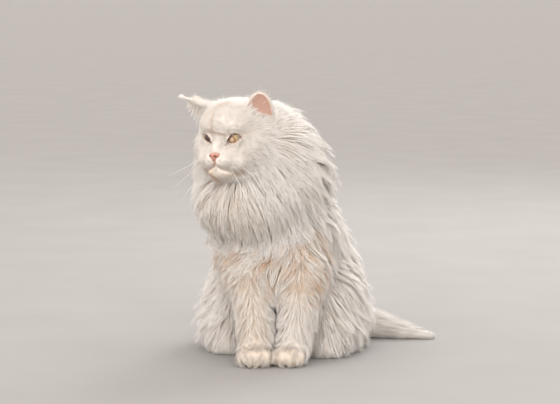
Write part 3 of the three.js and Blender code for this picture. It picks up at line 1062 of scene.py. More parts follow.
def fitted(roots, values):
    """Longer and shorter coat from place to place on one part."""
    q = in_head(roots)
    x, y, z = roots.T
    head, mane = values["on_head"], values["on_mane"]
    # Longer on the cheeks, the nape and the chin, shorter on the crown
    cheek = smooth(-q[:, 2], -4, 26) * smooth(-q[:, 0], -22, 12)
    nape = smooth(-q[:, 0], 8, 34)
    longer = 1 + head * (0.9 * cheek + 0.5 * nape - 0.25 * smooth(q[:, 2], 20, 36))
    chin = values["on_face"] * smooth(-q[:, 2], 36, 46)
    longer = longer + chin * 0.9
    # Calmer round the face, and wilder at the ruff's sides and lower edge
    calm = smooth(q[:, 0], -45, -5) * smooth(z, 165, 200) * (mane + head)
    sides = mane * smooth(np.abs(x), 62, 90) * (1 - calm)
    low_ruff = mane * smooth(-z, -215, -185)
    values["flick"] = values["flick"] * (1 - 0.85 * calm) * (1 + 0.7 * sides) * (1 + 0.8 * low_ruff)
    values["draw"] = values["draw"] * (1 - 0.7 * calm)
    values["lock"] = values["lock"] * (1 - 0.35 * calm)
    # Feathers down the back of the forelegs
    feather = np.zeros(len(roots))
    middle = -78 - 26 * down_leg(z)
    behind = smooth(y, middle - 4, middle + 16)
    for side in SIDES:
        feather = feather + values["on_foreleg_" + side] * behind * smooth(z, 40, 75)
    longer = longer + 0.9 * feather
    # Tufts at the ears' tips, in one lock at the right ear's
    for name, ear in EARS.items():
        tip = smooth(in_ear(q, ear)[:, 2] / ear["size"][2], 0.65, 0.95) * values["on_ear_" + name]
        longer = longer + tip * (1.1 if name == "right" else 0.2)
        if name == "right":
            values["draw"] = values["draw"] + tip * (0.93 - values["draw"])
            values["lock"] = values["lock"] + tip * 8
        values["in_cup_" + name] = 1.0 * (cup_of(ear)(roots) < 0.6)
    on_ears = values["on_ear_left"] + values["on_ear_right"]
    longer = longer * (1 + 1.6 * values["in_cup_right"] * (on_ears > 0.3))
    values["long"] = values["long"] * longer
    low = in_ear(q, EARS["left"])
    values["bare_cup"] = values["in_cup_left"] * (low[:, 2] - 0.2 * low[:, 1] > -3)
    return values


NOSE = [
    *both(lambda s: head_mass([56, s * 3.2, -23.9], [5.4, 3.5, 2.5])),
    head_mass([57, 0, -24.6], [5.2, 4, 3.2]),
    head_mass([56.4, 0, -28.2], [4.2, 2.1, 3.2]),
]
leather_level = blended(2, *NOSE)


def bare_places(roots):
    """Where no tuft grows: the eyes, the nose leather and the line of the mouth."""
    q = in_head(roots)
    bare = leather_level(roots) < 1.4
    for side in SIDES.values():
        e = in_eye(roots, side)
        bare |= ((past_lids(e, side) < 0.8) | (near_corner(e, side) < 1.3)) & (e[:, 0] > 0)
    y = np.abs(q[:, 1])
    return bare | (q[:, 0] > 26) & (near_line(y, q[:, 2], MOUTH_LINE) < 1.0) & (y < 14)


LAYOUT_VOXEL = 8


def unwrapped(piece):
    """A coarse copy of the skin laid out flat: for any place on it, the place in that layout."""
    alone(piece)
    bpy.ops.object.duplicate()
    copy = bpy.context.active_object
    finished(copy, "REMESH", mode="VOXEL", voxel_size=LAYOUT_VOXEL * MM)
    finished(copy, "SMOOTH", factor=0.5, iterations=4)
    bpy.ops.object.mode_set(mode="EDIT")
    bpy.ops.mesh.select_all(action="SELECT")
    bpy.ops.uv.smart_project(angle_limit=math.radians(66), island_margin=0.008)
    bpy.ops.object.mode_set(mode="OBJECT")
    mesh = copy.data
    mesh.calc_loop_triangles()
    loops = listed(mesh.loop_triangles, "loops", 3, np.int32)
    corners = listed(mesh.loop_triangles, "vertices", 3, np.int32)
    flat = listed(mesh.uv_layers.active.data, "uv", 2)[loops]
    places = places_of(copy)
    tree = BVHTree.FromPolygons([tuple(p) for p in places], [tuple(c) for c in corners.tolist()])
    bpy.data.objects.remove(copy)

    def layout(points):
        found = [tree.find_nearest(Vector(point)) for point in points]
        index = np.array([f[2] for f in found])
        at = np.array([f[0] for f in found])
        a, b, c = (places[corners[index][:, i]] for i in range(3))
        whole = np.cross(b - a, c - a)
        size = np.maximum((whole * whole).sum(-1), 1e-12)
        u = (np.cross(b - at, c - at) * whole).sum(-1) / size
        v = (np.cross(c - at, a - at) * whole).sum(-1) / size
        parts = np.stack([u, v, 1 - u - v], -1)
        return (flat[index] * parts[..., None]).sum(1)

    return layout


# How large a tuft's patch is in the flat layout, how much its shading follows the body's form, and
# its section: across and up
PATCH = 0.003
BEND = 0.72
EAR_BEND = 0.1
SECTION = np.array([[-0.5, 0.0], [0.5, 0.0], [0.0, 1.0]])


def widths_along(steps):
    t = np.arange(steps) / steps
    return (1 - t) ** 0.55 * np.where(t == 0, 0.85, 1)


def tuft_faces(rings):
    """Corners of a tuft's faces: a triangle at its root, four-sided ones along it and a point."""
    faces = [[0, 1, 2]]
    for i in range(rings - 1):
        for j in range(3):
            k = (j + 1) % 3
            faces.append([3 * i + k, 3 * i + j, 3 * i + 3 + j, 3 * i + 3 + k])
    for j in range(3):
        faces.append([3 * (rings - 1) + (j + 1) % 3, 3 * (rings - 1) + j, 3 * rings])
    return faces


def tuft_mesh(name, lines, outs, wide, thick, twist, patches, tints, bend=BEND):
    """One mesh of many tufts: each a thin wedge that narrows to a point, closed at its root."""
    count, rings = lines.shape[0], lines.shape[1] - 1
    tangent = np.empty((count, rings, 3))
    tangent[:, 0] = lines[:, 1] - lines[:, 0]
    tangent[:, 1:] = lines[:, 2 : rings + 1] - lines[:, : rings - 1]
    tangent = unit(tangent)
    side = unit(np.cross(tangent, outs[:, :rings]))
    up = np.cross(side, tangent)
    c, s = np.cos(twist)[:, None, None], np.sin(twist)[:, None, None]
    side, up = side * c + up * s, up * c - side * s
    narrow = widths_along(rings)
    half = wide[:, None] * narrow
    deep = thick[:, None] * narrow
    ring = (
        lines[:, :rings, None]
        + side[:, :, None] * (SECTION[:, 0] * half[..., None])[..., None]
        + up[:, :, None] * (SECTION[:, 1] * deep[..., None])[..., None]
    )
    each = 3 * rings + 1
    places = np.concatenate([ring.reshape(count, -1, 3), lines[:, rings : rings + 1]], 1)
    round_off = np.stack([0.35 * up - 0.75 * side, 0.35 * up + 0.75 * side, up], 2)
    facing = unit(unit(round_off) * (1 - bend) + outs[:, :rings, None] * bend)
    facing = np.concatenate([facing.reshape(count, -1, 3), unit(outs[:, rings:] + up[:, -1:])], 1)

    faces = tuft_faces(rings)
    loops = np.concatenate([np.array(face) for face in faces])
    starts = np.concatenate([[0], np.cumsum([len(face) for face in faces])[:-1]])
    along = np.minimum(loops // 3, rings) / rings
    around = np.where(loops < 3 * rings, loops % 3 / 2, 0.5)

    mesh = bpy.data.meshes.new(name)
    mesh.vertices.add(count * each)
    mesh.vertices.foreach_set("co", (places * MM).astype(np.float32).ravel())
    mesh.loops.add(count * len(loops))
    every = (np.arange(count)[:, None] * each + loops).astype(np.int32)
    mesh.loops.foreach_set("vertex_index", every.ravel())
    mesh.polygons.add(count * len(faces))
    every = (np.arange(count)[:, None] * len(loops) + starts).astype(np.int32)
    mesh.polygons.foreach_set("loop_start", every.ravel())
    mesh.polygons.foreach_set("use_smooth", np.ones(count * len(faces), bool))
    baked = mesh.uv_layers.new(name="OFBake")
    spot = np.stack([(around - 0.5) * PATCH, (along - 0.5) * PATCH], -1)
    baked.data.foreach_set("uv", (patches[:, None] + spot[None]).astype(np.float32).ravel())
    strand = mesh.uv_layers.new(name="Strand")
    own = np.tile(np.stack([around, along], -1), (count, 1, 1))
    own[..., 0] += np.arange(count)[:, None] * 1.7
    strand.data.foreach_set("uv", own.astype(np.float32).ravel())
    mesh.uv_layers.active = baked
    ramp = np.append(np.repeat(np.arange(rings) / rings, 3), 1.0)
    painted(mesh, **{key: np.repeat(values, each) for key, values in tints.items()})
    painted(mesh, along=np.tile(ramp, count))
    mesh.update(calc_edges=True)
    mesh.validate()
    mesh.normals_split_custom_set_from_vertices(facing.reshape(-1, 3).tolist())
    piece = bpy.data.objects.new(name, mesh)
    bpy.context.scene.collection.objects.link(piece)
    return piece


def lies_of(weights):
    """The way the coat lies at each of some points, mixed from the parts' lies."""

    def lie(p):
        way = np.zeros_like(p)
        for i, name in enumerate(KINDS):
            some = weights[:, i] > 0.02
            if some.any():
                way[some] += weights[some, i : i + 1] * unit(LIES[name](p[some]))
        return way

    return lie


def rooted(points, normals, values):
    """Roots sunk a little into the skin, so that no tuft stands free of it."""
    on_ears = values["on_ear_left"] + values["on_ear_right"]
    return points - normals * ((0.35 + values["thick"] * 2.5) * (1 - 0.7 * on_ears))[:, None]


# The skin this far under the outline is hidden, and fewer tufts grow there
HIDDEN = -21
# Of the tufts, those that stand off from the rest, and of the locks, those drawn to a point
LOOSE_SHARE = 0.1
POINTED_SHARE = 0.35
# The ruff is in two pieces, which meet here
RUFF_MIDDLE = -18
BACK_FROM = -10


def coat_pieces(skin):
    """The whole coat: tufts in locks, each lock round a guide of its own."""
    rng = np.random.default_rng(SEED)
    roots, normals = scatter(rng, skin)
    keep = ~bare_places(roots)
    keep &= ~((normals[:, 2] < -0.6) & (roots[:, 2] < 14))
    deep = OUTLINE.read(roots)[:, 0] < HIDDEN
    keep &= ~(deep & (rng.random(len(roots)) < 0.7))
    roots, normals = roots[keep], normals[keep]
    weights = shares(roots)
    kind = weights.argmax(1)
    values = {key: weights @ of_kinds(key) for key in COATS["head"]}
    for i, name in enumerate(KINDS):
        values["on_" + name] = weights[:, i]
    values = fitted(roots, values)

    grows = (values["bare_cup"] < 0.5) | (rng.random(len(roots)) < 0.01)
    roots, normals, weights, kind = roots[grows], normals[grows], weights[grows], kind[grows]
    values = {key: value[grows] for key, value in values.items()}
    count = len(roots)

    # The guides: how long, how far aside, how high and how far off each lock grows
    guides = thinned(rng, roots, values["lock"])
    owner = nearest(roots, roots[guides])
    number = len(guides)
    guide_values = {key: value[guides].copy() for key, value in values.items()}
    grown = rng.uniform(0.82, 1.2, number)
    guide_sway = rng.normal(0, 0.22, number) * np.minimum(guide_values["curl"], 1.5)
    guide_lift = guide_values["lift"] * rng.uniform(-1.2, 1.9, number)
    guide_values["long"] = guide_values["long"] * grown
    pointed = rng.random(number) < POINTED_SHARE
    drawn = np.where(pointed, 1.25, rng.uniform(0.4, 0.9, number))[owner]
    values["draw"] = np.minimum(values["draw"] * drawn, 0.95)
    crown = smooth(roots[guides][:, 2], 268, 300)
    off = np.where(pointed, rng.uniform(0.7, 1.5, number), 0.25)
    guide_flick = guide_values["flick"] * off * (1 - 0.7 * crown)
    guide_roots = rooted(roots[guides], normals[guides], guide_values)
    guide_lies = lies_of(weights[guides])
    guide_lines, _ = comb(guide_roots, guide_values, guide_lies, guide_sway, guide_lift, guide_flick)

    # The tufts: each a little unlike its guide
    values["long"] = values["long"] * grown[owner] * rng.uniform(0.72, 1.1, count)
    sway = guide_sway[owner] + rng.normal(0, 0.1, count)
    lift = guide_lift[owner] + rng.normal(0, 0.8, count) * values["lift"]
    flick = guide_flick[owner] * rng.uniform(0.6, 1.1, count)
    loose = rng.random(count) < LOOSE_SHARE * (values["on_face"] < 0.4)
    lift = lift + loose * rng.uniform(1.5, 5, count)
    values["long"] = values["long"] * (1 + 0.15 * loose)
    values["draw"] = values["draw"] * (1 - 0.7 * loose)
    lines, outs = comb(rooted(roots, normals, values), values, lies_of(weights), sway, lift, flick)

    # Drawn to the guide towards their tips, then waved
    t = np.linspace(0, 1, STEPS + 1)
    pull = values["draw"][:, None] * t[None] ** 2.4
    spread = rng.normal(0, 1, (count, 1, 3)) * (0.06 * values["lock"])[:, None, None]
    target = guide_lines[owner] + spread * t[None, :, None]
    lines = lines + (target - lines) * pull[..., None]
    phase = rng.uniform(0, 1, number)[owner] + rng.normal(0, 0.06, count)
    whole_turn = 2 * math.pi
    wave = np.sin(whole_turn * (t[None] * 1.1 + phase[:, None])) - np.sin(whole_turn * phase)[:, None]
    tangent = unit(lines[:, -1] - lines[:, 0])[:, None]
    aside = unit(np.cross(tangent, outs))
    lines = lines + aside * (wave * values["curl"][:, None])[..., None]
    lines[..., 2] = np.maximum(lines[..., 2], 0.5 + 0.4 * rng.random((count, 1)))

    wide = values["wide"] * rng.uniform(0.75, 1.25, count) * (1 - 0.5 * loose)
    thick = values["thick"] * rng.uniform(0.8, 1.2, count)
    twist = rng.normal(0, 0.35, count)
    # Warm roots: the coat's own cream, more tan where painted shade falls on the chest, elbows and chin
    tints = {"warm": warmth(roots, values) * 0.7 + 0.3 * rng.random(number)[owner]}
    # Tan to the tips from stains and from painted shade, less of it on the mane and head
    even, locks = stains(roots)
    even = even * (1 - 0.9 * values["on_mane"]) * (1 - 0.5 * values["on_head"])
    locks = locks * (1 - values["on_mane"])
    picked = rng.random(number)[owner] < 0.75 * locks
    picked = picked & (rng.random(count) < 0.7)
    stain = np.maximum(even, picked * rng.uniform(0.45, 1.0, number)[owner])
    tints["stain"] = stain * rng.uniform(0.7, 1.1, count)
    plain = values["on_face"]
    q = in_head(roots)
    # Darker tufts on the face, darker still on the brow: painted shade that holds back the strong light on
    # the short fur there
    brow = smooth(q[:, 2], 2, 16) * smooth(q[:, 0], 8, 28) * plain
    tints["tone"] = rng.uniform(0.6, 1.0, count) * (1 - 0.75 * plain) + 0.25 * plain - 0.2 * brow
    layout = unwrapped(skin)
    patches = layout(roots)

    # The pieces: which tufts are in each, and how many lengths a tuft has there
    x, y, _ = roots.T
    names = np.array(KINDS)[kind]
    left, behind, ruff_left = x >= 0, y >= BACK_FROM, x >= RUFF_MIDDLE
    groups = {
        "fur_face": (names == "face", 2),
        "fur_head": (names == "head", 3),
        "fur_ears": (np.isin(names, ["ear_left", "ear_right"]), 2),
        "fur_mane_left": ((names == "mane") & ruff_left, 4),
        "fur_mane_right": ((names == "mane") & ~ruff_left, 4),
        "fur_chest": ((names == "trunk") & ~behind, 4),
        "fur_back_left": ((names == "trunk") & behind & left, 4),
        "fur_back_right": ((names == "trunk") & behind & ~left, 4),
        "fur_haunch_left": (names == "haunch_left", 4),
        "fur_haunch_right": (names == "haunch_right", 4),
        "fur_foreleg_left": (names == "foreleg_left", 3),
        "fur_foreleg_right": (names == "foreleg_right", 3),
        "fur_paws": (np.isin(names, FOREPAWS), 2),
        "fur_tail": (names == "tail", 4),
    }
    pieces = []
    for name, (group, rings) in groups.items():
        piece = tuft_mesh(
            name,
            *shortened(lines[group], outs[group], rings),
            wide[group],
            thick[group],
            twist[group],
            patches[group],
            {key: tint[group] for key, tint in tints.items()},
            EAR_BEND if name == "fur_ears" else BEND,
        )
        pieces.append(piece)
    pieces.append(ear_wisps(rng, layout))
    return pieces


# Locks that hang from the ears or stand in them: the ear, the root in its own frame, the way out in
# the head's frame, the length of the lock and how far its tip drops
EAR_WISPS = [
    *[
        ("right", (4.5, 0, rise), (0.10, -0.22 - 0.01 * rise, -0.92), long, 2)
        for rise, long in ((0, 28), (5, 27), (10, 25), (15, 22), (20, 18), (25, 13), (30, 8))
    ],
    *[
        ("right", (0, 0, rise), (0.0, -0.97, 0.16), long, -0.34 * long)
        for rise, long in ((22, 18), (28, 16), (33, 13), (38, 10), (42, 7))
    ],
    ("left", (6, -13, 0), (0.35, 0.55, 0.75), 12, 1),
    ("left", (6, -8, -3), (0.35, 0.55, 0.75), 12, 1),
    ("left", (6, -3, -4), (0.35, 0.50, 0.80), 11, 1),
    ("left", (6, 2, -5), (0.35, 0.40, 0.85), 10, 1),
    ("left", (6, 7, -5), (0.40, 0.20, 0.85), 10, 1),
    ("left", (6, 12, -4), (0.40, 0.00, 0.85), 9, 1),
]
IN_WISP = 16


def hanging(roots, ways, longs, drops, t):
    """Straight lines whose tips drop."""
    lines = roots[:, None] + (ways * longs[:, None])[:, None] * t[None, :, None]
    lines[..., 2] -= drops[:, None] * t[None] ** 2
    return lines


def ear_wisps(rng, layout):
    starts, ways, longs, drops = [], [], [], []
    for name, at, way, long, drop in EAR_WISPS:
        ear = EARS[name]
        starts.append(on_head(np.array(ear["at"]) + ear["turned"] @ np.array(at)))
        ways.append(HEAD_TURNED @ unit(np.array(way)))
        longs.append(long)
        drops.append(drop)
    lock = np.repeat(np.arange(len(EAR_WISPS)), IN_WISP)
    number = len(lock)
    start, way, long, drop = (np.array(v, float)[lock] for v in (starts, ways, longs, drops))
    roots = settle(skin_level, start + rng.normal(0, 1.7, (number, 3)), level=-0.8, rounds=4)
    t = np.linspace(0, 1, STEPS + 1)
    long = long * rng.uniform(0.6, 1.1, number)
    lines = hanging(roots, unit(way + rng.normal(0, 0.12, (number, 3))), long, drop, t)
    middle = start[:, None] + (way * long[:, None])[:, None] * t[None, :, None]
    lines = lines + (middle - lines) * (0.85 * t[None, :, None] ** 1.6)
    outs = np.broadcast_to(unit(HEAD_TURNED @ np.array([0.8, 0.3, 0.5])), lines.shape).copy()
    at_tip = drop < 0
    tints = {
        "warm": rng.uniform(0.1, 0.5, number) * (1 - 0.9 * at_tip),
        "stain": rng.uniform(0.0, 0.15, number) * (1 - at_tip),
        "tone": np.maximum(rng.uniform(0.5, 1.0, number), 0.9 * at_tip),
    }
    wide = rng.uniform(0.35, 0.55, number) * (1 + 0.7 * at_tip)
    twist = rng.normal(0, 0.4, number)
    return tuft_mesh("fur_ear_wisps", lines, outs, wide, 0.6 * wide, twist, layout(roots), tints, 0.0)


def shortened(lines, outs, rings):
    """The same lines with fewer lengths."""
    at = np.linspace(0, lines.shape[1] - 1, rings + 1)
    low = np.minimum(at.astype(int), lines.shape[1] - 2)
    part = (at - low)[None, :, None]
    return tuple(v[:, low] * (1 - part) + v[:, low + 1] * part for v in (lines, outs))


def near_place(p, place, reach):
    return np.exp(-(((p - np.array(place)) / reach) ** 2).sum(-1))


def stains(p):
    """Tan to the tips, evenly on the face and lock by lock on the body: stains and painted shade."""
    x, y, z = in_head(p).T
    aside = np.abs(y)
    front = smooth(x, 22, 30)
    # Painted shadow under the chin, over some staining, and on the far side of the lower lip
    under_chin = smooth(-z, 53, 58) * smooth(x, 2, 16) * smooth(z, -78, -68)
    far_lip = smooth(-y, -1, 5) * smooth(-z, 39, 45) * smooth(z, -64, -56) * smooth(x, 22, 32)
    # Painted shade along the mouth line and in the folds of the forehead, the stop and the cheeks
    lips = 0.5 * ridge(near_line(aside, z, MOUTH_LINE), 1.8) * front
    fold = 0.42 * ridge(near_line(y, z, FOREHEAD_FOLD), 1.9) * front
    stop = 0.5 * ridge(near_line(y, z, STOP_FOLD), 2.2) * front
    smile = 0.5 * ridge(near_line(aside, z, CHEEK_FOLD), 2.2) * smooth(x, 8, 16)
    even = np.max([0.75 * np.maximum(under_chin, far_lip), lips, fold, stop, smile], 0)
    # Tan locks on the chest, at the elbows and between the forelegs: partly stain, partly painted shade under
    # the ruff
    chest = smooth(-p[:, 1], 40, 75) * smooth(p[:, 2], 96, 126) * smooth(-p[:, 2], -222, -192)
    elbow = 0.9 * near_place(p, (64, -80, 90), (15, 24, 15))
    middle = near_place(p, (6, -98, 124), (22, 24, 26))
    return even, np.clip(0.65 * chest + elbow + 0.4 * middle, 0, 1)


def warmth(p, values):
    """How warm the coat's cream roots are; the more tan on the chest, at the elbows and under the chin is
    painted shade.
    """
    q = in_head(p)
    _, y, z = p.T
    chest = smooth(-y, 30, 80) * smooth(z, 80, 115) * smooth(-z, -215, -165) * (1 - values["on_mane"])
    elbow = (values["on_foreleg_left"] + values["on_foreleg_right"]) * smooth(z, 70, 100)
    chin = smooth(-q[:, 2], 40, 52) * smooth(q[:, 0], 0, 16)
    return np.clip(0.25 + 0.75 * np.maximum(np.maximum(chest, elbow), chin), 0, 1)


# Eyes, lids, nose leather and whiskers


# How far the clear front stands over the ball, and from where forward the ball is divided finer
BULGE = 0.75
IRIS_FROM = 7.4


def make_eye(side, name):
    """An eyeball whose clear front bulges a little over the iris."""
    at, _ = eye_frame(side)
    half_turn = (0, math.pi / 2, 0)
    nothing_selected()
    bpy.ops.mesh.primitive_uv_sphere_add(
        segments=64, ring_count=40, radius=EYEBALL * MM, location=(0, 0, 0), rotation=half_turn
    )
    eye = made("eyeball_" + name)
    subdivided(eye, lambda p: p[:, 0] > IRIS_FROM)
    places = places_of(eye)
    ahead = np.clip((unit(places)[:, 0] - GAZE_EDGE) / (1 - GAZE_EDGE), 0, 1)
    places = unit(places) * (EYEBALL + BULGE * ahead ** 0.8)[:, None]
    gaze = turned(z=side * GAZE_TURN)
    places = (places @ gaze.T + at) @ HEAD_TURNED.T + HEAD_AT
    put_places(eye, places)
    # The lids' shade on the ball, deeper under the upper lid
    e = in_eye(places, side)
    way = unit(np.stack([e[:, 1] / LIDS[side]["half"], e[:, 2] / 6], -1))
    upper = np.clip(0.5 + 0.5 * (way @ np.array([-0.75, 0.66])), 0, 1)
    band = 0.5 + 3.6 * upper ** 1.5
    painted(eye.data, shade=1 - smooth(-past_lids(e, side) / band, 0.4, 1.15))
    return smooth_shaded(eye)


LID_RING = 9


def make_lids(side, name):
    """The rim of the open lids: a soft bead that follows the almond over the eyeball."""
    nothing_selected()
    bpy.ops.mesh.primitive_torus_add(
        major_segments=96,
        minor_segments=14,
        major_radius=LID_RING * MM,
        minor_radius=1 * MM,
        location=(0, 0, 0),
        rotation=(0, math.pi / 2, 0),
    )
    lids = made("lids_" + name)
    p = places_of(lids)
    angle = np.arctan2(p[:, 2], p[:, 1])
    across, rising = np.cos(angle), np.sin(angle)
    up, down = lid_reach(across, side)
    height = np.where(rising >= 0, up, down)
    y = across * (LIDS[side]["half"] - 0.5)
    z = np.sign(rising) * np.maximum(height - 0.3, 0)
    off_ring = np.hypot(p[:, 1], p[:, 2]) - LID_RING
    bead = (0.55 + 0.2 * rising) * (1 - 0.5 * np.maximum(across, 0) ** 4)
    flat = np.hypot(y, z)
    y = y + off_ring * 0.9 * bead * y / np.maximum(flat, 1e-6)
    z = z + off_ring * 0.9 * bead * z / np.maximum(flat, 1e-6)
    inner = np.sqrt(np.maximum((EYEBALL + 0.55) ** 2 - y * y - z * z, 4))
    put_places(lids, out_of_eye(np.stack([inner + p[:, 0] * 0.85 * bead, y, z], -1), side))
    # Dark of the lids' edges, darkest on the upper lid and the inner corner and pale below: partly their own
    # colour, partly painted shade under the upper lid
    painted(lids.data, dark=np.clip(0.3 + 0.6 * rising - 1.1 * np.minimum(across, 0) ** 3, 0.05, 1))
    alone(lids)
    bpy.ops.object.mode_set(mode="EDIT")
    bpy.ops.mesh.select_all(action="SELECT")
    bpy.ops.mesh.normals_make_consistent(inside=False)
    return smooth_shaded(lids)


NOSE_VOXEL = 0.42
NOSTRIL_AT = (61.0, 3.7, -24.7)
NOSTRIL = (3.2, 1.9, 1.1)
NOSTRIL_TURN = 28
# The painted shade of a nostril reaches a little further than its hollow
NOSTRIL_DARK = (3.4, 2.0, 1.4)


def nostril_at(side):
    forward, aside, up = NOSTRIL_AT
    return np.array([forward, side * aside, up])


def nose_level(p):
    """The field of the nose leather, with a crease down its middle and two nostrils."""
    q = in_head(p)
    level = melt(2.5, [mass(p) for mass in NOSE])
    slots = []
    for side in SIDES.values():
        slot = Mass([0, 0, 0], NOSTRIL)
        slots.append(slot((q - nostril_at(side)) @ turned(x=side * NOSTRIL_TURN)))
    crease = np.hypot(q[:, 1] / 0.55, np.clip(q[:, 2] + 24, 0, 9) / 2) - 1
    level = level + 0.5 * np.exp(-np.maximum(crease, 0) ** 2) * (q[:, 0] > 55)
    return -melt(0.9, [-level, melt(0.5, slots)])


def make_nose():
    lumps = [lump(on_head(mass.at), mass.size, HEAD_TURNED) for mass in NOSE]
    nose = joined(lumps, "nose_leather")
    finished(nose, "REMESH", mode="VOXEL", voxel_size=NOSE_VOXEL * MM)
    finished(nose, "SMOOTH", factor=0.5, iterations=3)
    places = settle(nose_level, places_of(nose), rounds=5, most=1.0)
    put_places(nose, places)
    q = in_head(places_of(nose))
    # Painted shade in and round the nostrils
    dark = [smooth(-Mass(nostril_at(side), NOSTRIL_DARK)(q), -0.5, 0.4) for side in SIDES.values()]
    painted(nose.data, dark=np.maximum(*dark))
    return smooth_shaded(nose)


# Whiskers of one side: root across and up on the lip pad, way out, length, and how far the tip hangs
WHISKERS = [
    ((12.0, -30.0), (0.20, 0.84, -0.50), 62, -6),
    ((15.0, -32.0), (0.14, 0.80, -0.58), 58, 4),
    ((12.5, -34.0), (0.18, 0.64, -0.74), 64, 8),
    ((16.0, -35.5), (0.16, 0.60, -0.80), 58, 6),
    ((14.5, -38.5), (0.20, 0.42, -0.88), 50, 2),
]
WHISKER_STEPS = 9
WHISKER_WIDE = 0.42


def make_whiskers():
    rng = np.random.default_rng(SEED + 1)
    roots, ways, longs, hangs = [], [], [], []
    for side in SIDES.values():
        for (across, up), way, long, hang in WHISKERS:
            roots.append(on_head([44, side * across, up]))
            way = np.array(way) + rng.normal(0, 0.03, 3)
            ways.append(HEAD_TURNED @ (unit(way) * np.array([1, side, 1])))
            longs.append(long * rng.uniform(0.94, 1.06))
            hangs.append(hang)
    root = settle(skin_level, np.array(roots), level=-1.2, rounds=6)
    way, long, hang = np.array(ways), np.array(longs), np.array(hangs)
    t = np.linspace(0, 1, WHISKER_STEPS + 1)
    lines = hanging(root, way, long, hang, t)
    lines = lines - (way * hang[:, None] * 0.35)[:, None] * (t[None, :, None] ** 2)
    outs = np.broadcast_to(np.array([0.0, 0, 1]), lines.shape).copy()
    width = np.full(len(long), WHISKER_WIDE)
    patches = np.stack([np.linspace(0.1, 0.9, len(long)), np.full(len(long), 0.5)], -1)
    return tuft_mesh("whiskers", lines, outs, width, width * 0.8, np.zeros(len(long)), patches, {})


# Finishes


class Finish:
    """A node material on Blender's own shader. Sources are the sockets that nodes give out."""

    def __init__(self, name, **sockets):
        self.material = bpy.data.materials.new(name)
        self.material.use_nodes = True
        self.tree = self.material.node_tree
        self.shader = self.tree.nodes["Principled BSDF"]
        for socket, value in sockets.items():
            self.shader.inputs[socket.replace("_", " ")].default_value = value

    def node(self, kind, **values):
        node = self.tree.nodes.new("ShaderNode" + kind)
        for key, value in values.items():
            if key.startswith("in_"):
                node.inputs[key[3:].replace("_", " ")].default_value = value
            else:
                setattr(node, key, value)
        return node

    def put(self, value, socket):
        """A source, a number or a colour into a socket."""
        if isinstance(value, (int, float)):
            socket.default_value = value
        elif isinstance(value, tuple):
            socket.default_value = (*value, 1)
        else:
            self.tree.links.new(value, socket)

    def attribute(self, name):
        return self.node("Attribute", attribute_name=name, attribute_type="GEOMETRY").outputs["Fac"]

    def texture(self, kind, **values):
        """A texture on the piece's own coordinates."""
        node = self.node("Tex" + kind, **values)
        self.put(self.node("TexCoord").outputs["Object"], node.inputs["Vector"])
        return node

    def ramp(self, source, *stops):
        """Colours along a source, each with its place."""
        node = self.node("ValToRGB")
        elements = node.color_ramp.elements
        while len(elements) < len(stops):
            elements.new(0.5)
        for element, (place, colour) in zip(elements, stops):
            element.position = place
            element.color = (*colour, 1)
        self.put(source, node.inputs["Fac"])
        return node.outputs["Color"]

    def mix(self, first, second, factor, blend="MIX"):
        node = self.node("Mix", data_type="RGBA", blend_type=blend)
        for number, value in ((6, first), (7, second), (0, factor)):
            self.put(value, node.inputs[number])
        return node.outputs[2]

    def maths(self, operation, *values):
        node = self.node("Math", operation=operation)
        for value, socket in zip(values, node.inputs):
            self.put(value, socket)
        return node.outputs[0]

    def from_middle(self, a, b):
        """How far a place is from the middle, from how far it is across and up."""
        squares = [self.maths("MULTIPLY", value, value) for value in (a, b)]
        return self.maths("SQRT", self.maths("ADD", *squares))

    def colour(self, source):
        self.put(source, self.shader.inputs["Base Color"])

    def bump(self, height, strength, distance):
        node = self.node("Bump", in_Strength=strength, in_Distance=distance)
        self.put(height, node.inputs["Height"])
        self.put(node.outputs["Normal"], self.shader.inputs["Normal"])


WHITE = (0.95, 0.93, 0.90)
CREAM = (0.88, 0.80, 0.70)
TAN = (0.70, 0.53, 0.37)
PINK = (0.42, 0.19, 0.12)
# Tan of stains and of painted shade
STAIN_AND_SHADE = (0.74, 0.50, 0.33)
# Dark of the lids' edges, deepened with painted shade
LID_DARK = (0.16, 0.075, 0.05)
FULL = (1, 1, 1)
NONE = (0, 0, 0)


def coat_finish():
    """White at the tips and cream to tan at the roots, with fine strands along each tuft."""
    finish = Finish("long white coat", Roughness=0.62, Sheen_Weight=0.25, Sheen_Roughness=0.4)
    along = finish.attribute("along")
    plain = finish.ramp(along, (0.0, (0.90, 0.79, 0.68)), (0.22, (0.93, 0.875, 0.82)), (0.5, WHITE))
    rich = finish.ramp(along, (0.0, TAN), (0.28, (0.76, 0.60, 0.43)), (0.55, CREAM), (0.9, WHITE))
    # The tan roots where the coat is warm, partly painted shade
    base = finish.mix(plain, rich, finish.attribute("warm"))
    stretch = finish.node("Mapping", in_Scale=(7, 0.5, 1))
    finish.put(finish.node("UVMap", uv_map="Strand").outputs["UV"], stretch.inputs["Vector"])
    strands = finish.node("TexNoise", in_Scale=2.2, in_Detail=2.0)
    finish.put(stretch.outputs[0], strands.inputs["Vector"])
    strand = strands.outputs["Fac"]
    base = finish.mix(base, finish.ramp(strand, (0.32, (0.80, 0.76, 0.70)), (0.6, FULL)), 0.4, "MULTIPLY")
    # Each tuft's tone: at random, with painted shade on the face and brow
    each = finish.ramp(finish.attribute("tone"), (0.0, (0.82, 0.80, 0.77)), (0.75, FULL))
    base = finish.mix(base, each, 1.0, "MULTIPLY")
    # Tan to the tips where there are stains and painted shade
    stained = finish.mix(base, STAIN_AND_SHADE, 1.0, "MULTIPLY")
    finish.colour(finish.mix(base, stained, finish.attribute("stain")))
    finish.bump(strand, 0.35, 0.0004)
    return finish.material


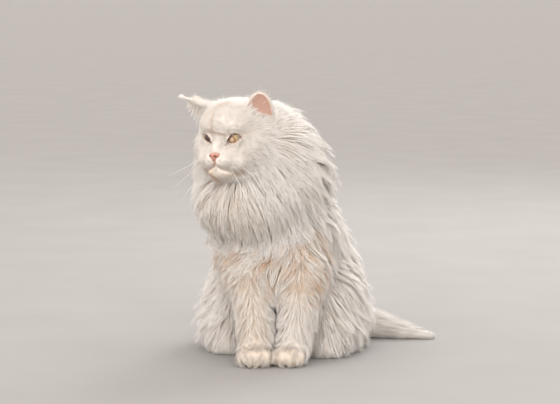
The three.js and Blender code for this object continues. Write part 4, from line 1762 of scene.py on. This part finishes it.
def skin_finish():
    """The coat's white and cream over pink skin, with a short nap, pink ears and dark lid edges."""
    finish = Finish("white skin and nap", Roughness=0.7, Sheen_Weight=0.2, Sheen_Roughness=0.5)
    nap = finish.texture("Noise", in_Scale=900.0, in_Detail=3.0).outputs["Fac"]
    cloud = finish.texture("Noise", in_Scale=28.0, in_Detail=2.0).outputs["Fac"]
    soft = finish.ramp(cloud, (0.35, (0.83, 0.79, 0.74)), (0.62, (0.86, 0.835, 0.80)))
    grain = finish.ramp(nap, (0.3, (0.80, 0.76, 0.72)), (0.6, (0.94, 0.94, 0.94)))
    base = finish.mix(soft, grain, 0.6, "MULTIPLY")
    # Warm, pink and dark: the skin's own colours with painted shade in its folds, under the chin and round
    # the lids
    for name, colour in (("warm", (0.74, 0.57, 0.42)), ("pink", PINK), ("dark", LID_DARK)):
        base = finish.mix(base, colour, finish.attribute(name))
    finish.colour(base)
    finish.bump(nap, 0.3, 0.0005)
    return finish.material


def paint_skin(skin):
    """Writes where the skin is pink, dark and warm into its own attributes, some of it painted shade."""
    p = places_of(skin)
    x, y, z = in_head(p).T
    front = smooth(x, 22, 30)
    cup = cup_of(EARS["left"])(p)
    near = Ear(EARS["left"], inset=-2)(p) < 0
    # Pink of the lips along the mouth line, with painted shade in its crease
    lips = 0.6 * front * ridge(near_line(np.abs(y), z, MOUTH_LINE), 1.6)
    by_nose = 0.8 * ridge(np.maximum(leather_level(p), 0), 1.2) * front
    # Painted shade in the folds of the forehead and the stop
    fold_shade = 0.3 * ridge(near_line(y, z, FOREHEAD_FOLD), 1.8) + 0.3 * ridge(near_line(y, z, STOP_FOLD), 2.4)
    pinks = [
        smooth(-cup, -2.0, -0.2) * (0.8 + 0.2 * smooth(-cup, 0, 3)) * near,
        lips,
        by_nose,
        np.minimum(fold_shade, 0.5) * front,
    ]
    darks = []
    for side in SIDES.values():
        e = in_eye(p, side)
        past = past_lids(e, side)
        ahead = e[:, 0] > 0
        # Dark round the opening, mostly above, and a dark point at the inner corner: the lids' dark edge with
        # painted shade under the upper lid
        upper = smooth(e[:, 2] - 0.5 * e[:, 1], 0, 5)
        darks.append(smooth(-past, -1.0, -0.3) * ahead * (0.1 + 0.9 * upper))
        darks.append(smooth(-near_corner(e, side), -1.5, -0.5) * ahead)
        pinks.append(0.3 * smooth(-past, -3.5, -1) * ahead)
    weights = shares(p)
    coats = {"on_" + name: weights[:, i] for i, name in enumerate(KINDS)}
    # Warm skin: the cream of the roots and the tan of stains, both partly painted shade
    warm = np.maximum(0.55 * warmth(p, coats), np.max(stains(p), 0))
    painted(skin.data, pink=np.max(pinks, 0), dark=np.max(darks, 0), warm=warm)


IRIS = [
    (0.40, (0.16, 0.09, 0.035)),
    (0.50, (0.24, 0.14, 0.055)),
    (0.60, (0.37, 0.25, 0.095)),
    (0.76, (0.38, 0.28, 0.11)),
    (0.88, (0.26, 0.16, 0.065)),
    (0.94, (0.10, 0.045, 0.025)),
    (1.0, (0.06, 0.025, 0.015)),
]
# Each pupil's colours, in its middle and at its edge: the left one has a painted glow of reflected light, its
# eyeshine
PUPILS = {
    1: ((0.47, 0.31, 0.19), (0.20, 0.11, 0.05)),
    -1: ((0.06, 0.02, 0.014), (0.02, 0.008, 0.006)),
}
IRIS_SIZE = 10.0
PUPIL_SIZE = 4.4
GLOW_SIZE = 4.5
LID_SHADE = (0.030, 0.011, 0.007)


def eye_finish(side):
    """A gold iris with fine rays, darker at its edge, round a narrow pupil with a painted glow, under a wet
    gloss.
    """
    at, _ = eye_frame(side)
    finish = Finish("gold iris", Roughness=0.3, Coat_Weight=0.5, Coat_Roughness=0.12)
    maths = finish.maths
    gaze = Matrix((HEAD_TURNED @ turned(z=side * GAZE_TURN)).tolist()).to_euler()
    own = finish.node("Mapping", vector_type="TEXTURE", in_Rotation=gaze, in_Scale=(MM, MM, MM))
    own.inputs["Location"].default_value = tuple(on_head(at) * MM)
    finish.put(finish.node("TexCoord").outputs["Object"], own.inputs["Vector"])
    parts = finish.node("SeparateXYZ")
    finish.put(own.outputs[0], parts.inputs[0])
    y, z = parts.outputs[1], parts.outputs[2]
    off_axis = finish.from_middle(y, z)
    spoke = finish.node("CombineXYZ")
    finish.put(maths("MULTIPLY", maths("ARCTAN2", z, y), 5.0), spoke.inputs[0])
    finish.put(maths("MULTIPLY", off_axis, 0.35), spoke.inputs[1])
    rays = finish.node("TexNoise", in_Scale=2.4, in_Detail=3.0)
    finish.put(spoke.outputs[0], rays.inputs["Vector"])
    uneven = maths("MULTIPLY", maths("SUBTRACT", rays.outputs[0], 0.5), 1.6)
    iris = finish.ramp(maths("DIVIDE", maths("ADD", off_axis, uneven), IRIS_SIZE), *IRIS)
    # A painted glow of reflected light in the pupil, a little out and down from its middle
    from_glow = finish.from_middle(maths("SUBTRACT", y, side * 1.0), maths("ADD", z, 1.0))
    depth, edge = PUPILS[side]
    glow = maths("DIVIDE", from_glow, GLOW_SIZE)
    pupil = finish.ramp(glow, (0.0, depth), (0.45, depth), (0.9, edge), (1.0, edge))
    hole = finish.ramp(maths("DIVIDE", off_axis, PUPIL_SIZE), (0.0, FULL), (0.84, FULL), (0.98, NONE))
    finish.colour(finish.mix(finish.mix(iris, pupil, hole), LID_SHADE, finish.attribute("shade")))
    return finish.material


def lid_finish():
    """Dark skin with a fine grain, pink where the lids are pale; the dark is partly painted shade."""
    finish = Finish("dark lid edge", Roughness=0.35, Coat_Weight=0.35, Coat_Roughness=0.2)
    grain = finish.texture("Noise", in_Scale=700.0, in_Detail=3.0).outputs["Fac"]
    pale = finish.ramp(grain, (0.3, (0.56, 0.35, 0.28)), (0.7, (0.68, 0.46, 0.38)))
    deep = finish.ramp(grain, (0.3, (0.035, 0.014, 0.009)), (0.7, (0.07, 0.028, 0.018)))
    finish.colour(finish.mix(pale, deep, finish.attribute("dark")))
    finish.bump(grain, 0.3, 0.0003)
    return finish.material


def leather_finish():
    """Damp pebbled skin, salmon pink, with painted shade in the nostrils."""
    finish = Finish("nose leather", Roughness=0.42, Coat_Weight=0.25, Coat_Roughness=0.3)
    pebble = finish.texture("Voronoi", in_Scale=1100.0)
    cloud = finish.texture("Noise", in_Scale=160.0, in_Detail=2.0).outputs["Fac"]
    tone = finish.ramp(cloud, (0.3, (0.50, 0.22, 0.165)), (0.7, (0.62, 0.31, 0.24)))
    finish.colour(finish.mix(tone, (0.09, 0.018, 0.014), finish.attribute("dark")))
    finish.bump(pebble.outputs["Distance"], 0.35, 0.0002)
    return finish.material


def whisker_finish():
    finish = Finish("white whisker", Roughness=0.35)
    along = finish.attribute("along")
    finish.colour(finish.ramp(along, (0.0, (0.85, 0.80, 0.74)), (0.4, (0.95, 0.94, 0.92))))
    return finish.material


def floor_finish():
    finish = Finish("pale matt floor", Roughness=0.85)
    cloud = finish.texture("Noise", in_Scale=6.0, in_Detail=4.0).outputs["Fac"]
    finish.colour(finish.ramp(cloud, (0.3, (0.30, 0.295, 0.29)), (0.7, (0.32, 0.315, 0.31))))
    return finish.material


def clothed(piece, material, nodes):
    """Gives a piece its material, and says which nodes it stands for."""
    piece.data.materials.clear()
    piece.data.materials.append(material)
    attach(piece, "root")
    if nodes:
        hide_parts(*nodes)


FLESH = [
    "head", "ear_left", "ear_right", "mane", "trunk", "haunch_left", "haunch_right",
    "foreleg_left", "foreleg_right", "forepaw_left", "forepaw_right",
    "hind_paw_left", "hind_paw_right", "tail_base", "tail_end",
]

paint_skin(skin)
clothed(skin, skin_finish(), FLESH)

coat = coat_finish()
for piece in coat_pieces(skin):
    clothed(piece, coat, [])

for name, side in SIDES.items():
    clothed(make_eye(side, name), eye_finish(side), ["eye_" + name])
    clothed(make_lids(side, name), lid_finish(), [])

clothed(make_nose(), leather_finish(), ["nose"])
clothed(make_whiskers(), whisker_finish(), [])


# The floor, the lights and the camera

FLOOR_RADIUS = 300
WORLD_COLOUR = (1.0, 0.93, 0.88, 1)
WORLD_STRENGTH = 1.5
# Each soft light's place, width, power and colour
LIGHTS = {
    "key": ((0.75, -2.0, 1.5), 0.9, 10, (1, 0.985, 0.97)),
    "fill": ((-0.7, -2.3, 0.5), 1.4, 15, (1, 0.95, 0.91)),
    "rim": ((0.6, 1.7, 1.7), 1.2, 22, (1, 1, 1)),
}
LIT_PLACE = Vector((0, 0, 0.17))
CAMERA_AT = (552.8, -2622.4, 482.0)
CAMERA_HEADING = math.radians(12)
CAMERA_PITCH = math.radians(6)
# The lens, as a distance in pixels behind a picture this wide
LENS_PIXELS = 2000
PICTURE_PIXELS = 560
SENSOR = 36

nothing_selected()
bpy.ops.mesh.primitive_circle_add(
    vertices=96, radius=FLOOR_RADIUS, fill_type="NGON", location=(0, 0, 0)
)
floor = made("floor")
floor.data.materials.append(floor_finish())

world = bpy.data.worlds.new("studio")
bpy.context.scene.world = world
world.use_nodes = True
world.node_tree.nodes["Background"].inputs["Color"].default_value = WORLD_COLOUR
world.node_tree.nodes["Background"].inputs["Strength"].default_value = WORLD_STRENGTH


def aimed(name, data, at, way):
    """A light or the camera in its place, looking along a way."""
    thing = bpy.data.objects.new(name, data)
    thing.location = at
    thing.rotation_euler = way.to_track_quat("-Z", "Y").to_euler()
    bpy.context.scene.collection.objects.link(thing)
    return thing


for name, (at, width, power, colour) in LIGHTS.items():
    light = bpy.data.lights.new(name, "AREA")
    light.shape = "DISK"
    light.size = width
    light.energy = power
    light.color = colour
    aimed(name, light, at, LIT_PLACE - Vector(at))

lens = bpy.data.cameras.new("camera")
lens.sensor_width = SENSOR
lens.lens = LENS_PIXELS / PICTURE_PIXELS * SENSOR
lens.clip_end = 600
level = math.cos(CAMERA_PITCH)
forward = Vector(
    (-math.sin(CAMERA_HEADING) * level, math.cos(CAMERA_HEADING) * level, -math.sin(CAMERA_PITCH))
)
bpy.context.scene.camera = aimed("camera", lens, Vector(CAMERA_AT) * MM, forward)
bpy.context.scene.view_settings.view_transform = "Standard"
